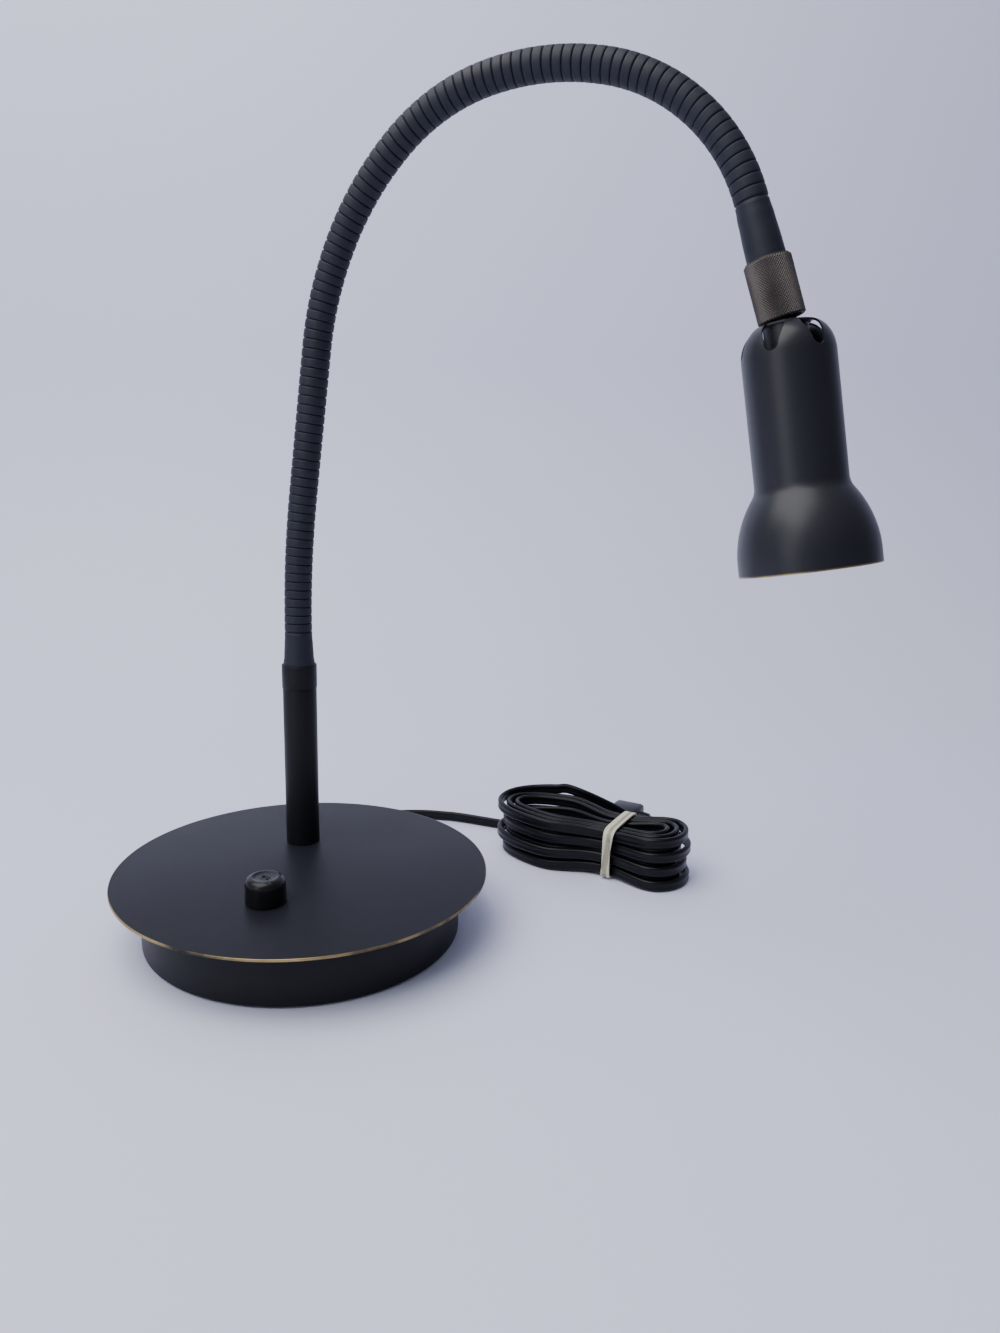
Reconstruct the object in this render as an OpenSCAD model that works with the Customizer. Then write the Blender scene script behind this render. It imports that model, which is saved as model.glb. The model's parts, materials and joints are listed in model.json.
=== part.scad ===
// Gooseneck desk lamp: a round weighted base with a dimmer, a ribbed flexible neck and a
// small vented metal shade for a low-voltage reflector lamp. Millimetres, +Z up, origin at
// the base's centre on the table. +Y points away from the side that the knob is on.

/* [Base] */
// Diameter of the top plate
plate_d = 170; // [160:1:200]
// Thickness of the top plate
plate_t = 1.2; // [1:0.1:3]
// Outside diameter of the drum under the plate
drum_d = 144.4; // [142:0.2:156]
// Height of the drum
drum_h = 27; // [26:0.5:36]
// Wall of the drum
drum_wall = 1.5; // [1:0.1:2.5]
// Thickness of the bottom cover
cover_t = 3; // [2.6:0.1:5]
// Thickness of the rubber pad under the base
foot_h = 1; // [0.8:0.1:3]
// Inside diameter of the iron weight
ballast_bore_d = 100; // [97:1:106]
// Diameter of the cover screws
screw_d = 4; // [3:0.5:5]
// Number of cover screws
screw_count = 3; // [3:1:6]

/* [Electrics] */
// Outside diameter of the toroidal transformer
toroid_d = 58; // [50:1:60]
// Height of the transformer
toroid_h = 18; // [14:1:19]
// Hole through the transformer
toroid_bore_d = 18; // [14:1:22]
// Length of the terminal block
block_l = 22; // [18:1:26]
// Width of the terminal block
block_w = 12; // [10:1:14]
// Height of the terminal block
block_h = 10; // [8:1:12]
// Diameter of the dimmer's case
dimmer_d = 17; // [15:0.5:20]
// Height of the dimmer's case
dimmer_h = 10; // [8:0.5:12]
// Diameter of the dimmer's shaft
shaft_d = 6; // [5:0.5:6.5]
// Diameter of the threads on the dimmer's bush and the stem's nipple
thread_d = 10; // [9:0.5:10.5]
// Width across the flats of the panel nuts
nut_af = 13; // [12:0.5:13.5]
// Thickness of the panel nuts
nut_t = 2.5; // [2:0.1:3]

/* [Knob] */
// Diameter of the knob
knob_d = 17.6; // [17:0.1:20]
// Height of the knob
knob_h = 11.5; // [10:0.5:14]
// Depth of the dish in the knob's top
dish_depth = 0.8; // [0.4:0.1:1.4]

/* [Stem] */
// Outside diameter of the stem
stem_d = 16; // [15:0.2:18]
// Wall of the stem
stem_wall = 1.4; // [1:0.1:1.6]
// Height of the stem over the plate, its collar included
stem_h = 89.3; // [70:0.1:120]
// Height of the collar at the stem's top
stem_collar_h = 11.3; // [10:0.1:16]
// How far the collar stands out from the stem all round
stem_collar_step = 0.3; // [0.2:0.1:1]

/* [Neck] */
// Diameter over the sleeve's ribs
sleeve_d = 12.8; // [12.6:0.1:13.4]
// Distance from rib to rib
rib_pitch = 4; // [3.7:0.1:4.3]
// Depth of the grooves between ribs
rib_depth = 0.5; // [0.3:0.05:0.6]
// Diameter of the metal core
core_d = 9.2; // [9:0.1:9.3]
// Diameter of the core's balls
ball_d = 7.4; // [7.2:0.1:7.5]
// Bore of the core
core_bore_d = 4.6; // [4.3:0.1:4.8]
// Diameter of the lamp's lead
lead_d = 3.8; // [3.4:0.1:3.9]
// Diameter of the sleeve's flared ends
flare_d = 14.6; // [14:0.1:14.8]
// Height from the stem's top to the first rib
lower_flare_h = 16; // [12:0.5:24]
// Length of the flare over the knurled collar
upper_flare_h = 21.4; // [16:0.2:30]
// Turn of the plane that the neck curls in, from +X towards the knob
neck_turn = 20; // [0:1:45]

/* [Head] */
// Diameter of the knurled collar
collar_d = 17.7; // [17.2:0.1:20]
// Length of the knurled collar
collar_h = 22.6; // [20:0.2:30]
// Diameter of the swivel ball in the shade's crown
swivel_d = 10.8; // [10.4:0.1:11]
// Lean of the shade off the neck's line
shade_tilt = 9; // [0:0.5:9]
// Length of the shade
shade_h = 92; // [88:1:110]
// Outside diameter of the shade's tube
tube_d = 34.9; // [34:0.1:38]
// Outside diameter of the shade's bell
bell_d = 53.2; // [53:0.1:58]
// Thickness of the shade's metal
shade_wall = 0.8; // [0.6:0.1:1]
// Length of the rounded shoulder
shoulder_h = 12.5; // [11:0.5:16]
// Number of vents
vent_count = 6; // [5:1:6]
// Width of a vent at its round end
vent_w = 5.4; // [4.6:0.2:6]
// Depth of the vents, from the crown
vent_h = 11.3; // [9:0.1:13]
// Diameter of the lamp's reflector
lamp_d = 50; // [48:0.5:50.5]
// Depth of the reflector's bowl
bowl_h = 24; // [20:1:26]
// How far the lamp's front lies inside the rim
lamp_recess = 9; // [8:0.5:10]

/* [Cord] */
// Width of the flat cord
cord_w = 5.6; // [5:0.1:5.8]
// Thickness of the flat cord
cord_t = 2.8; // [2.4:0.1:3]
// Height of the cord's exit over the table
exit_h = 9; // [8:0.5:11]
// Length of the strain relief outside the drum
relief_l = 22; // [20:1:24]

/* [Hidden] */
$fn = 64;

bronze = [0.17, 0.17, 0.2];
dark = [0.1, 0.1, 0.12];
rubber = [0.12, 0.13, 0.17];
steel = [0.62, 0.62, 0.6];
brass = [0.7, 0.58, 0.34];
black = [0.05, 0.05, 0.06];
copper = [0.72, 0.42, 0.24];
cream = [0.85, 0.82, 0.7];

seat_gap = 0.1;      // fixed pieces that fit in each other
run_gap = 0.05;      // the dimmer's shaft in its bush
cup_gap = 0.15;      // balls in their cups
turn_gap = 0.3;      // the knob over the plate

// Base, from the table up
cover_z = foot_h;
weight_z = cover_z + cover_t;
drum_top = foot_h + drum_h;
ceiling_z = drum_top - drum_wall;
plate_top = drum_top + plate_t;
cover_r = drum_d / 2 - drum_wall - seat_gap;
foot_r = drum_d / 2 - 3;
screw_circle_r = ballast_bore_d / 2 + 1.5 * screw_d;
screw_head_t = 1.5;
notch_w = 14;
toroid_at = [16, 0];
block_at = [-32, 0];
knob_at = [-9, -36];
stem_at = [-6.4, 32.3];
wire_r = 1.1;
thread_r = thread_d / 2;
bush_top = plate_top + 4;
nipple_low = ceiling_z - nut_t - 5;
nipple_high = plate_top + 12;
nipple_bore_r = lead_d / 2 + 1.2;

// Neck: eight links, each an arc that starts where the one before it ends
link_ribs = [16, 16, 12, 11, 11, 12, 12, 8];
link_turn = [7.5, 0, 19, 20.5, 30.5, 25, 34.5, 24];
links = len(link_ribs);
stem_top = plate_top + stem_h;
neck_z = stem_top + lower_flare_h;
ferrule_depth = stem_collar_h - 3.5;
function link_len(i) = link_ribs[i] * rib_pitch;
function lean(i) = i == 0 ? 0 : lean(i - 1) + link_turn[i - 1];
// Way that an arc of length l and turn t covers: [sideways, along]
function arc_step(l, t) = t == 0 ? [0, l] :
    let (r = l / (t * PI / 180)) [r * (1 - cos(t)), r * sin(t)];
function turned(p, a) = [p[0] * cos(a) + p[1] * sin(a), p[1] * cos(a) - p[0] * sin(a)];
function link_start(i) = i == 0 ? [0, neck_z] :
    link_start(i - 1) + turned(arc_step(link_len(i - 1), link_turn[i - 1]), lean(i - 1));

ball_r = ball_d / 2;
cup_r = ball_r + cup_gap;
core_r = core_d / 2;
bore_r = core_bore_d / 2;
cup_reach = 0.5;                         // of a cup past its ball's centre
shoulder = ball_r - 0.1;                 // where a link's full tube begins
ball_neck_r = bore_r + 0.6;
cup_wall_r = core_r + 0.2;               // of the ring that a cup is turned in
cup_ring = 3.6;                          // its length behind the ball's centre
lead_r = lead_d / 2;
lead_start = -sqrt(ball_r * ball_r - bore_r * bore_r) + 0.4;
lead_stop = ball_r + cup_gap + 0.05;     // of a lead short of the next ball's centre
sleeve_sides = 8;
sleeve_bore_r = (cup_wall_r + seat_gap) / cos(180 / sleeve_sides);
joint_gap = 0.1;                         // a sleeve's end short of the bending point

// Head, along its own line from the last bending point
collar_z = upper_flare_h;
collar_end = collar_z + collar_h;
swivel_z = collar_end + 6.2;
crown_over_swivel = 4.5;
swivel_r = swivel_d / 2;
spigot_r = 5;
spigot_neck_r = 3;
flare_r = flare_d / 2;
tube_r = tube_d / 2;
bell_r = bell_d / 2;
crown_r = collar_d / 2 - 0.25;
tilt_about = 68;                         // direction that the shade leans about
// The hole's edge keeps cup_gap and a little more from the ball
crown_hole_r = sqrt(pow(swivel_r + 0.27, 2) - pow(crown_over_swivel - shade_wall, 2));

// Shade, from the crown down
bell_angle = 35;
bell_fillet = 8;
bell_round = (bell_r - tube_r) / (1 - cos(bell_angle)) - bell_fillet;
bell_len = (bell_fillet + bell_round) * sin(bell_angle);
rim_len = 4.5;
tube_end = shade_h - rim_len - bell_len;
lamp_z = shade_h - lamp_recess;
glass_t = 1.4;
clip_r = 0.7;
cup_wall = 1;
cup_outer_r = swivel_r + 1.9 + cup_wall;
holder_z = lamp_z - bowl_h - 28;
holder_end = holder_z + 15.5;
cup_end = holder_z + 2;
base_z = holder_end + 0.4;
pin_r = 0.75;
pin_gap = 5.3;

// Hank: turns that lie flat, drawn in at the waist, spiral in and out in four layers
hank_at = [147, 80];
hank_turn = -28;
hank_turns = 12;
hank_layers = 4;
hank_rings = 24;
hank_start = 130;                        // degrees round the outline, from the right end
hank_left = 60;
hank_right = 50;
hank_waist_x = 8;
lobe_half = 25.5;
waist_half = 15.2;
hank_y = -4;
lobe_step = 4.8;
waist_step = 4.1;
waist_flat = 3;                          // half the length of the straight waist
lobe_run = 32;                           // over which the waist widens to the lobes
layer_step = 6.6;
waist_lift = 1.4;
lobe_fan = 0.18;                         // share that the layers spread by at the ends
cord_z = cord_w / 2 + 0.2;
turns_per_layer = hank_turns / hank_layers;
band_x = 11;
band_l = 5;
band_t = 1;

// ---------- Base ----------

module at(p, z = 0) { translate([p[0], p[1], z]) children(); }

module base_plate() color(bronze) difference() {
    translate([0, 0, drum_top]) cylinder(d = plate_d, h = plate_t);
    at(stem_at, drum_top - 1) cylinder(r = thread_r + seat_gap, h = plate_t + 2);
    at(knob_at, drum_top - 1) cylinder(r = thread_r + seat_gap, h = plate_t + 2);
}

module screw_places() {
    for (k = [0:screw_count - 1]) rotate([0, 0, 30 + k * 360 / screw_count])
        translate([screw_circle_r, 0, 0]) children();
}

module cord_hole(r) {
    translate([0, drum_d / 2 + 5, exit_h]) rotate([90, 0, 0]) cylinder(r = r, h = 25);
}

relief_root_r = cord_w / 2 + 2;

module base_drum() color(dark) difference() {
    translate([0, 0, foot_h]) cylinder(d = drum_d, h = drum_h);
    translate([0, 0, foot_h - 1]) cylinder(r = drum_d / 2 - drum_wall, h = drum_h - drum_wall + 1);
    at(stem_at, ceiling_z - 1) cylinder(r = thread_r + seat_gap, h = drum_wall + 2);
    at(knob_at, ceiling_z - 1) cylinder(r = thread_r + seat_gap, h = drum_wall + 2);
    screw_places() cylinder(r = screw_d / 2 + seat_gap, h = drum_top + 1);
    cord_hole(relief_root_r + seat_gap);
}

module ballast_ring() color([0.3, 0.3, 0.31]) difference() {
    translate([0, 0, weight_z]) cylinder(r = cover_r, h = ceiling_z - seat_gap - weight_z);
    translate([0, 0, weight_z - 1]) cylinder(d = ballast_bore_d, h = drum_h);
    screw_places() cylinder(r = screw_d / 2 + 2 * seat_gap, h = drum_top + 1);
    translate([-notch_w / 2, 0, 0]) cube([notch_w, drum_d, exit_h + notch_w / 2]);
}

module bottom_cover() color(dark) difference() {
    union() {
        translate([0, 0, cover_z]) cylinder(r = cover_r, h = cover_t);
        at(toroid_at, cover_z) cylinder(d = toroid_bore_d - 4 * seat_gap, h = cover_t + toroid_h - 1);
    }
    screw_places() cylinder(r = screw_d / 2 + seat_gap, h = weight_z + 1);
    screw_places() cylinder(d = 2 * screw_d, h = cover_z + screw_head_t);
    translate([0, drum_d / 2, exit_h]) rotate([90, 0, 0])
        cylinder(r = relief_root_r + 1.2 + 2 * seat_gap, h = 6);
}

module foot_pad() color(black) cylinder(r = foot_r, h = foot_h);

module cover_screws() color(steel) screw_places() {
    difference() {
        union() {
            translate([0, 0, cover_z + seat_gap])
                cylinder(r = 0.9 * screw_d, h = screw_head_t - seat_gap);
            translate([0, 0, cover_z + seat_gap])
                cylinder(d = screw_d, h = drum_top - cover_z - 2 * seat_gap);
        }
        translate([-screw_d, -0.4, 0]) cube([2 * screw_d, 0.8, cover_z + 0.8]);
    }
}

// ---------- Electrics ----------

module transformer() color([0.75, 0.62, 0.2]) at(toroid_at, weight_z + seat_gap) rotate_extrude() {
    translate([toroid_bore_d / 2, 3]) square([(toroid_d - toroid_bore_d) / 2, toroid_h - 6]);
    translate([toroid_bore_d / 2 + 3, 0]) square([(toroid_d - toroid_bore_d) / 2 - 6, toroid_h]);
    for (x = [toroid_bore_d / 2 + 3, toroid_d / 2 - 3], y = [3, toroid_h - 3])
        translate([x, y]) circle(r = 3);
}

module terminal_block() color([0.9, 0.88, 0.8]) difference() {
    at(block_at, weight_z) translate([-block_w / 2, -block_l / 2, seat_gap])
        cube([block_w, block_l, block_h]);
    for (k = [-1.5:1:1.5]) at(block_at, weight_z + block_h - 4)
        translate([0, k * block_l / 4.4, 0]) cylinder(r = 1.6, h = 5);
}

// A round wire through the given points, each level with the next or straight above it, with a
// crimped sleeve at every turn
module wire(pts, r) {
    for (k = [0:len(pts) - 2]) {
        d = pts[k + 1] - pts[k];
        l = norm(d);
        translate(pts[k]) rotate([0, acos(d[2] / l), atan2(d[1], d[0])]) cylinder(r = r, h = l);
    }
    if (len(pts) > 2) for (k = [1:len(pts) - 2]) translate(pts[k] - [0, 0, crimp * r])
        cylinder(r = crimp * r, h = 2 * crimp * r);
}
crimp = 1.7;

wire_z = weight_z + 5;
block_side = block_at[0] + block_w / 2;
block_back = block_l / 2;

module base_wires() {
    color(black) wire([[0, cover_r + 1, exit_h], [0, ballast_bore_d / 2 - 4, exit_h],
        [block_at[0], 26, exit_h], [block_at[0], block_back + wire_gap, exit_h]], wire_r + 0.4);
    color(rubber) wire([[block_side + wire_gap, 6, wire_z], [-20, 6, wire_z],
        [stem_at[0], stem_at[1], wire_z], [stem_at[0], stem_at[1], neck_z - lead_stop]], lead_r);
    color(copper) wire([[block_at[0] + 3, -block_back - wire_gap, wire_z],
        [block_at[0] + 5, -28, wire_z], [knob_at[0] - 4, knob_at[1], wire_z],
        [knob_at[0] - 4, knob_at[1], ceiling_z - seat_gap - dimmer_h - wire_gap]], wire_r);
    color(copper) wire([[block_side + wire_gap, 0, wire_z],
        [toroid_at[0] - toroid_d / 2 - wire_gap, 0, wire_z]], wire_r);
}
wire_gap = 0.3;

module dimmer_case() color([0.2, 0.2, 0.22]) at(knob_at) difference() {
    union() {
        translate([0, 0, ceiling_z - seat_gap - dimmer_h]) cylinder(d = dimmer_d, h = dimmer_h);
        translate([0, 0, ceiling_z - 1]) cylinder(r = thread_r, h = bush_top - ceiling_z + 1);
    }
    translate([0, 0, ceiling_z - dimmer_h + 1])
        cylinder(r = shaft_d / 2 + run_gap, h = bush_top - ceiling_z + dimmer_h);
}

module panel_nut() difference() {
    cylinder(r = nut_af / 2 / cos(30), h = nut_t, $fn = 6);
    translate([0, 0, -1]) cylinder(r = thread_r + seat_gap, h = nut_t + 2);
}

module panel_nuts() color(brass) {
    at(knob_at, plate_top) panel_nut();
    at(stem_at, ceiling_z - nut_t) panel_nut();
}

module dimmer_shaft() color(steel) at(knob_at, ceiling_z - dimmer_h + 1 + seat_gap)
    cylinder(d = shaft_d, h = plate_top + knob_h - 3 - (ceiling_z - dimmer_h + 1 + seat_gap));

// ---------- Knob ----------

module knob() color(black) at(knob_at, plate_top + turn_gap) difference() {
    rotate_extrude() polygon(concat([[0, 0], [knob_d / 2, 0]],
        [for (a = [0:18:90]) [knob_d / 2 - 0.2 - knob_round * (1 - cos(a)),
            knob_h - knob_round * (1 - sin(a))]],
        [[0, knob_h]]));
    translate([0, 0, -1]) cylinder(r = knob_d / 2 - 1, h = nut_t + 3);
    cylinder(d = shaft_d + seat_gap, h = knob_h - 3);
    translate([0, 0, knob_h + 30 - dish_depth]) sphere(r = 30);
    rotate([0, 0, mark_turn]) translate([3.4, -0.5, knob_h - 1.6]) cube([knob_d, 1, 3]);
}
knob_round = 3.2;
mark_turn = -59;

// ---------- Stem ----------

collar_bore_r = core_r + seat_gap;
ferrule_bore_r = cup_wall_r + seat_gap;

module stem_tube() color(dark) at(stem_at, plate_top) difference() {
    cylinder(d = stem_d, h = stem_h - stem_collar_h);
    translate([0, 0, 14]) cylinder(r = stem_d / 2 - stem_wall, h = stem_h);
    translate([0, 0, -1]) cylinder(r = thread_r + seat_gap, h = 20);
}

module stem_collar() color(dark) at(stem_at, stem_top - stem_collar_h) difference() {
    union() {
        cylinder(r = stem_d / 2 + stem_collar_step, h = stem_collar_h);
        translate([0, 0, -8]) cylinder(r = stem_d / 2 - stem_wall - seat_gap, h = 9);
    }
    translate([0, 0, -9]) cylinder(r = collar_bore_r, h = 30);
    translate([0, 0, stem_collar_h - ferrule_depth]) cylinder(r = flare_r + seat_gap, h = 20);
}

module stem_nipple() color(brass) at(stem_at, nipple_low) difference() {
    cylinder(r = thread_r, h = nipple_high - nipple_low);
    translate([0, 0, -1]) cylinder(r = nipple_bore_r, h = nipple_high - nipple_low + 2);
}

// ---------- Neck ----------

// Stands its children on the neck's plane, at the stem's axis
module neck_plane() { at(stem_at) rotate([0, 0, -neck_turn]) children(); }

// Stands its children at the start of link i; i = links is the head
module at_link(i) {
    p = link_start(i);
    neck_plane() translate([p[0], 0, p[1]]) rotate([0, lean(i), 0]) children();
}

// Places its children part of the way along an arc of length l and turn t
module along(l, t, way) {
    p = arc_step(l * way, t * way);
    translate([p[0], 0, p[1]]) rotate([0, t * way, 0]) children();
}

// A round rod along an arc of length l and turn t, between two places on it
module rod(r, l, t, from, to) {
    if (t == 0) translate([0, 0, from]) cylinder(r = r, h = to - from);
    else {
        big = l / (t * PI / 180);
        translate([big, 0, 0]) rotate([0, t * from / l, 0]) mirror([1, 0, 0]) rotate([90, 0, 0])
            rotate_extrude(angle = t * (to - from) / l) translate([big, 0]) circle(r = r);
    }
}

module cup_end() {
    translate([0, 0, -cup_ring]) cylinder(r = cup_wall_r, h = cup_ring + cup_reach);
}

module neck_socket() color(steel) at(stem_at) difference() {
    translate([0, 0, stem_top - stem_collar_h - 7]) cylinder(r = core_r,
        h = neck_z + cup_reach - (stem_top - stem_collar_h - 7));
    translate([0, 0, nipple_low]) cylinder(r = bore_r, h = neck_z - nipple_low);
    translate([0, 0, neck_z]) sphere(r = cup_r);
}

module lower_ferrule() color(rubber) at(stem_at) rotate_extrude() {
    low = stem_top - ferrule_depth;
    top = neck_z - joint_gap;
    polygon([[ferrule_bore_r, low], [flare_r, low], [flare_r, stem_top + 1],
        [flare_r - 0.35, stem_top + 3.5], [sleeve_d / 2 + 0.25, neck_z - 6],
        [sleeve_d / 2, neck_z - 3], [sleeve_d / 2, top], [ferrule_bore_r, top]]);
}

module core(i) color(steel) at_link(i) {
    l = link_len(i);
    t = link_turn[i];
    difference() {
        union() {
            sphere(r = ball_r);
            cylinder(r = ball_neck_r, h = shoulder + 0.5);
            rod(core_r, l, t, shoulder, l - 2);
            along(l, t, 1) cup_end();
        }
        translate([0, 0, -ball_r - 1]) cylinder(r = bore_r + 0.1, h = ball_r + 4);
        rod(bore_r, l, t, 2.4, l - 2);
        along(l, t, 1) sphere(r = cup_r);
    }
}

module lead(i) color(black) at_link(i) {
    l = link_len(i);
    translate([0, 0, lead_start]) cylinder(r = lead_r, h = -lead_start);
    rod(lead_r, l, link_turn[i], 0, l - lead_stop);
}

// Corner n of a ring with the given sides, at length s on an arc of length l and turn t
function ring_point(l, t, s, r, n, sides) =
    let (p = arc_step(s, t * s / l), a = t * s / l, b = (n + 0.5) * 360 / sides,
         q = turned([r * cos(b), 0], a))
    [p[0] + q[0], r * sin(b), p[1] + q[1]];
function ring(l, t, s, r, sides) = [for (n = [0:sides - 1]) ring_point(l, t, s, r, n, sides)];

// Triangles between rings a and a + 1; the first corner of ring 0 is at index base
function band_faces(base, a, sides, flip) = [for (n = [0:sides - 1], h = [0, 1])
    let (m = (n + 1) % sides, p = base + a * sides, q = p + sides,
         f = h == 0 ? [p + n, q + n, q + m] : [p + n, q + m, p + m])
    flip ? [f[0], f[2], f[1]] : f];

// One run of ribbed sleeve: grooves at both ends, a crest in the middle of every pitch
module sleeve(i) color(rubber) at_link(i) {
    l = link_len(i);
    t = link_turn[i];
    ribs = link_ribs[i];
    sides = sleeve_sides;
    outer_s = [for (k = [0:2 * ribs])
        k == 0 ? joint_gap : k == 2 * ribs ? l - joint_gap : k * rib_pitch / 2];
    steps = ceil(ribs / 2);
    inner_s = [for (k = [0:steps]) k == 0 ? joint_gap : k == steps ? l - joint_gap : k * l / steps];
    outer_r = [for (k = [0:2 * ribs]) sleeve_d / 2 - (k % 2 == 0 ? rib_depth : 0)];
    outer = [for (k = [0:2 * ribs]) each ring(l, t, outer_s[k], outer_r[k], sides)];
    inner = [for (s = inner_s) each ring(l, t, s, sleeve_bore_r, sides)];
    b = len(outer);
    last_o = 2 * ribs * sides;
    last_i = b + steps * sides;
    faces = concat(
        [for (k = [0:2 * ribs - 1]) each band_faces(0, k, sides, false)],
        [for (k = [0:steps - 1]) each band_faces(b, k, sides, true)],
        [for (n = [0:sides - 1], h = [0, 1]) let (m = (n + 1) % sides)
            h == 0 ? [n, m, b + m] : [n, b + m, b + n]],
        [for (n = [0:sides - 1], h = [0, 1]) let (m = (n + 1) % sides)
            h == 0 ? [last_o + n, last_i + m, last_o + m] : [last_o + n, last_i + n, last_i + m]]);
    polyhedron(points = concat(outer, inner), faces = faces);
}

// ---------- Head ----------

module upper_ferrule() color(rubber) at_link(links) rotate_extrude() {
    bore = core_r + 0.2;
    polygon([[core_r + 1, joint_gap], [sleeve_d / 2, joint_gap], [sleeve_d / 2, 2],
        [sleeve_d / 2 + 0.35, 6], [flare_r - 0.1, collar_z - 4], [flare_r, collar_z],
        [flare_r, collar_z + 2.9], [bore, collar_z + 2.9], [bore, 2.6]]);
}

module head_spigot() color(steel) at_link(links) difference() {
    union() {
        sphere(r = ball_r);
        cylinder(r = ball_neck_r, h = shoulder + 0.2);
        translate([0, 0, shoulder]) cylinder(r = core_r, h = collar_z + 3.1 - shoulder);
        translate([0, 0, collar_z + 3]) cylinder(r = spigot_r, h = collar_h - 4.6);
        translate([0, 0, collar_z + 3]) cylinder(r = spigot_neck_r, h = swivel_z - collar_z - 3);
        translate([0, 0, swivel_z]) sphere(r = swivel_r);
    }
    translate([0, 0, -10]) cylinder(r = bore_r, h = swivel_z + 20);
}

module knurled_collar() color([0.3, 0.27, 0.24]) at_link(links) difference() {
    translate([0, 0, collar_z]) rotate_extrude() polygon([[0, 0], [collar_d / 2 - 0.8, 0],
        [collar_d / 2, 0.9], [collar_d / 2, collar_h - 0.4], [collar_d / 2 - 0.4, collar_h],
        [0, collar_h]]);
    translate([0, 0, collar_z - 1]) cylinder(r = flare_r + seat_gap, h = 4);
    translate([0, 0, collar_z - 1]) cylinder(r = spigot_r + seat_gap, h = collar_h + 2);
    translate([0, 0, collar_end - 1.5]) cylinder(r = collar_d / 2 - 1.4, h = 3);
}

module lead_head() color(black) at_link(links)
    translate([0, 0, lead_start]) cylinder(r = lead_r, h = swivel_z + swivel_r - 1.6 - lead_start);

// Stands its children in the shade's frame: the crown at 0, the rim at shade_h
module in_shade() {
    at_link(links) translate([0, 0, swivel_z])
        rotate(a = shade_tilt, v = [cos(tilt_about), sin(tilt_about), 0])
            translate([0, 0, -crown_over_swivel]) children();
}

// Outline of the shade, d inside its outer face
function shade_line(d) = concat(
    [for (a = [90:-9:0]) [crown_r + (tube_r - d - crown_r) * cos(a),
        shoulder_h - (shoulder_h - d) * sin(a)]],
    [for (a = [0:7:bell_angle]) [tube_r - d + (bell_fillet + d) * (1 - cos(a)),
        tube_end + (bell_fillet + d) * sin(a)]],
    [for (a = [bell_angle - 3.5:-3.5:0]) [bell_r - d - (bell_round - d) * (1 - cos(a)),
        shade_h - rim_len - (bell_round - d) * sin(a)]],
    [[bell_r - d, shade_h]]);

module shade() color(bronze) in_shade() difference() {
    rotate_extrude() polygon(concat([[crown_hole_r, 0]], shade_line(0),
        [for (k = [len(shade_line(0)) - 1:-1:0]) shade_line(shade_wall)[k]],
        [[crown_hole_r, shade_wall]]));
    for (k = [0:vent_count - 1]) rotate([0, 0, vent_phase + k * 360 / vent_count])
        translate([crown_r + 0.5, 0, 0]) rotate([90, 0, 90]) linear_extrude(tube_r) {
            polygon([[-vent_top, -1], [vent_top, -1], [vent_wide, 3], [vent_w / 2, vent_h - vent_w / 2],
                [-vent_w / 2, vent_h - vent_w / 2], [-vent_wide, 3]]);
            translate([0, vent_h - vent_w / 2]) circle(d = vent_w);
        }
}
vent_phase = 45;
vent_top = vent_w / 2 + 0.9;        // half a vent's width at the crown
vent_wide = vent_w / 2 + 1.5;       // and 3 mm below the crown

module holder_cup() color(steel) in_shade() difference() {
    translate([0, 0, shade_wall + 0.05]) cylinder(r = cup_outer_r, h = cup_end - shade_wall);
    translate([0, 0, -1]) cylinder(r = cup_outer_r - cup_wall,
        h = 1 + crown_over_swivel + swivel_r + 0.2);
    translate([0, 0, crown_over_swivel + swivel_r + 2.2])
        cylinder(r = cup_outer_r - cup_wall, h = cup_end);
    cylinder(r = 2.5, h = cup_end);
}

holder_r = 9;

module lamp_holder() color([0.92, 0.9, 0.85]) in_shade() difference() {
    union() {
        translate([0, 0, cup_end + 0.15])
            cylinder(r = holder_r, h = holder_end - cup_end - 0.15);
        translate([0, 0, holder_z - 4]) cylinder(r = cup_outer_r - cup_wall - seat_gap,
            h = holder_end - holder_z);
        translate([0, 0, crown_over_swivel + swivel_r + 0.8])
            cylinder(r = 1.2, h = holder_z - 3 - crown_over_swivel - swivel_r - 0.8);
    }
    for (s = [-1, 1]) translate([s * pin_gap / 2, 0, holder_end - 7])
        cylinder(r = pin_r + seat_gap, h = 8);
}

// Radius of the reflector's outside, z from the shade's crown
function bowl_r(z) = lamp_d / 2 * sqrt((z - (lamp_z - bowl_h)) / bowl_h);
bowl_wall = 1.5;
base_r = 7.5;
bowl_low = lamp_z - bowl_h + bowl_h * pow(base_r / (lamp_d / 2), 2);

module reflector() color([0.75, 0.75, 0.78]) in_shade() difference() {
    union() {
        rotate_extrude() polygon(concat([[0, base_z], [base_r, base_z]],
            [for (k = [0:8]) let (z = bowl_low + (lamp_z - bowl_low) * pow(k / 8, 1.3)) [bowl_r(z), z]],
            [for (k = [8:-1:0]) let (z = bowl_low + (lamp_z - bowl_low) * pow(k / 8, 1.3))
                [max(bowl_r(z) - bowl_wall, 5.5), z + (k == 8 ? 0 : 0.6)]],
            [[0, bowl_low + 0.6]]));
    }
    translate([0, 0, base_z - 1]) cylinder(r = 4.6, h = bowl_low - base_z + 4);
}

capsule_l = bowl_h - 4;

module capsule() color([0.9, 0.92, 0.95]) in_shade() {
    translate([0, 0, base_z + 0.5]) cylinder(r = 4.5, h = capsule_l);
    translate([0, 0, base_z + 0.5 + capsule_l]) sphere(r = 4.5);
    for (s = [-1, 1]) translate([s * pin_gap / 2, 0, holder_end - 6])
        cylinder(r = pin_r, h = base_z + 1 - (holder_end - 6));
}

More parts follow.
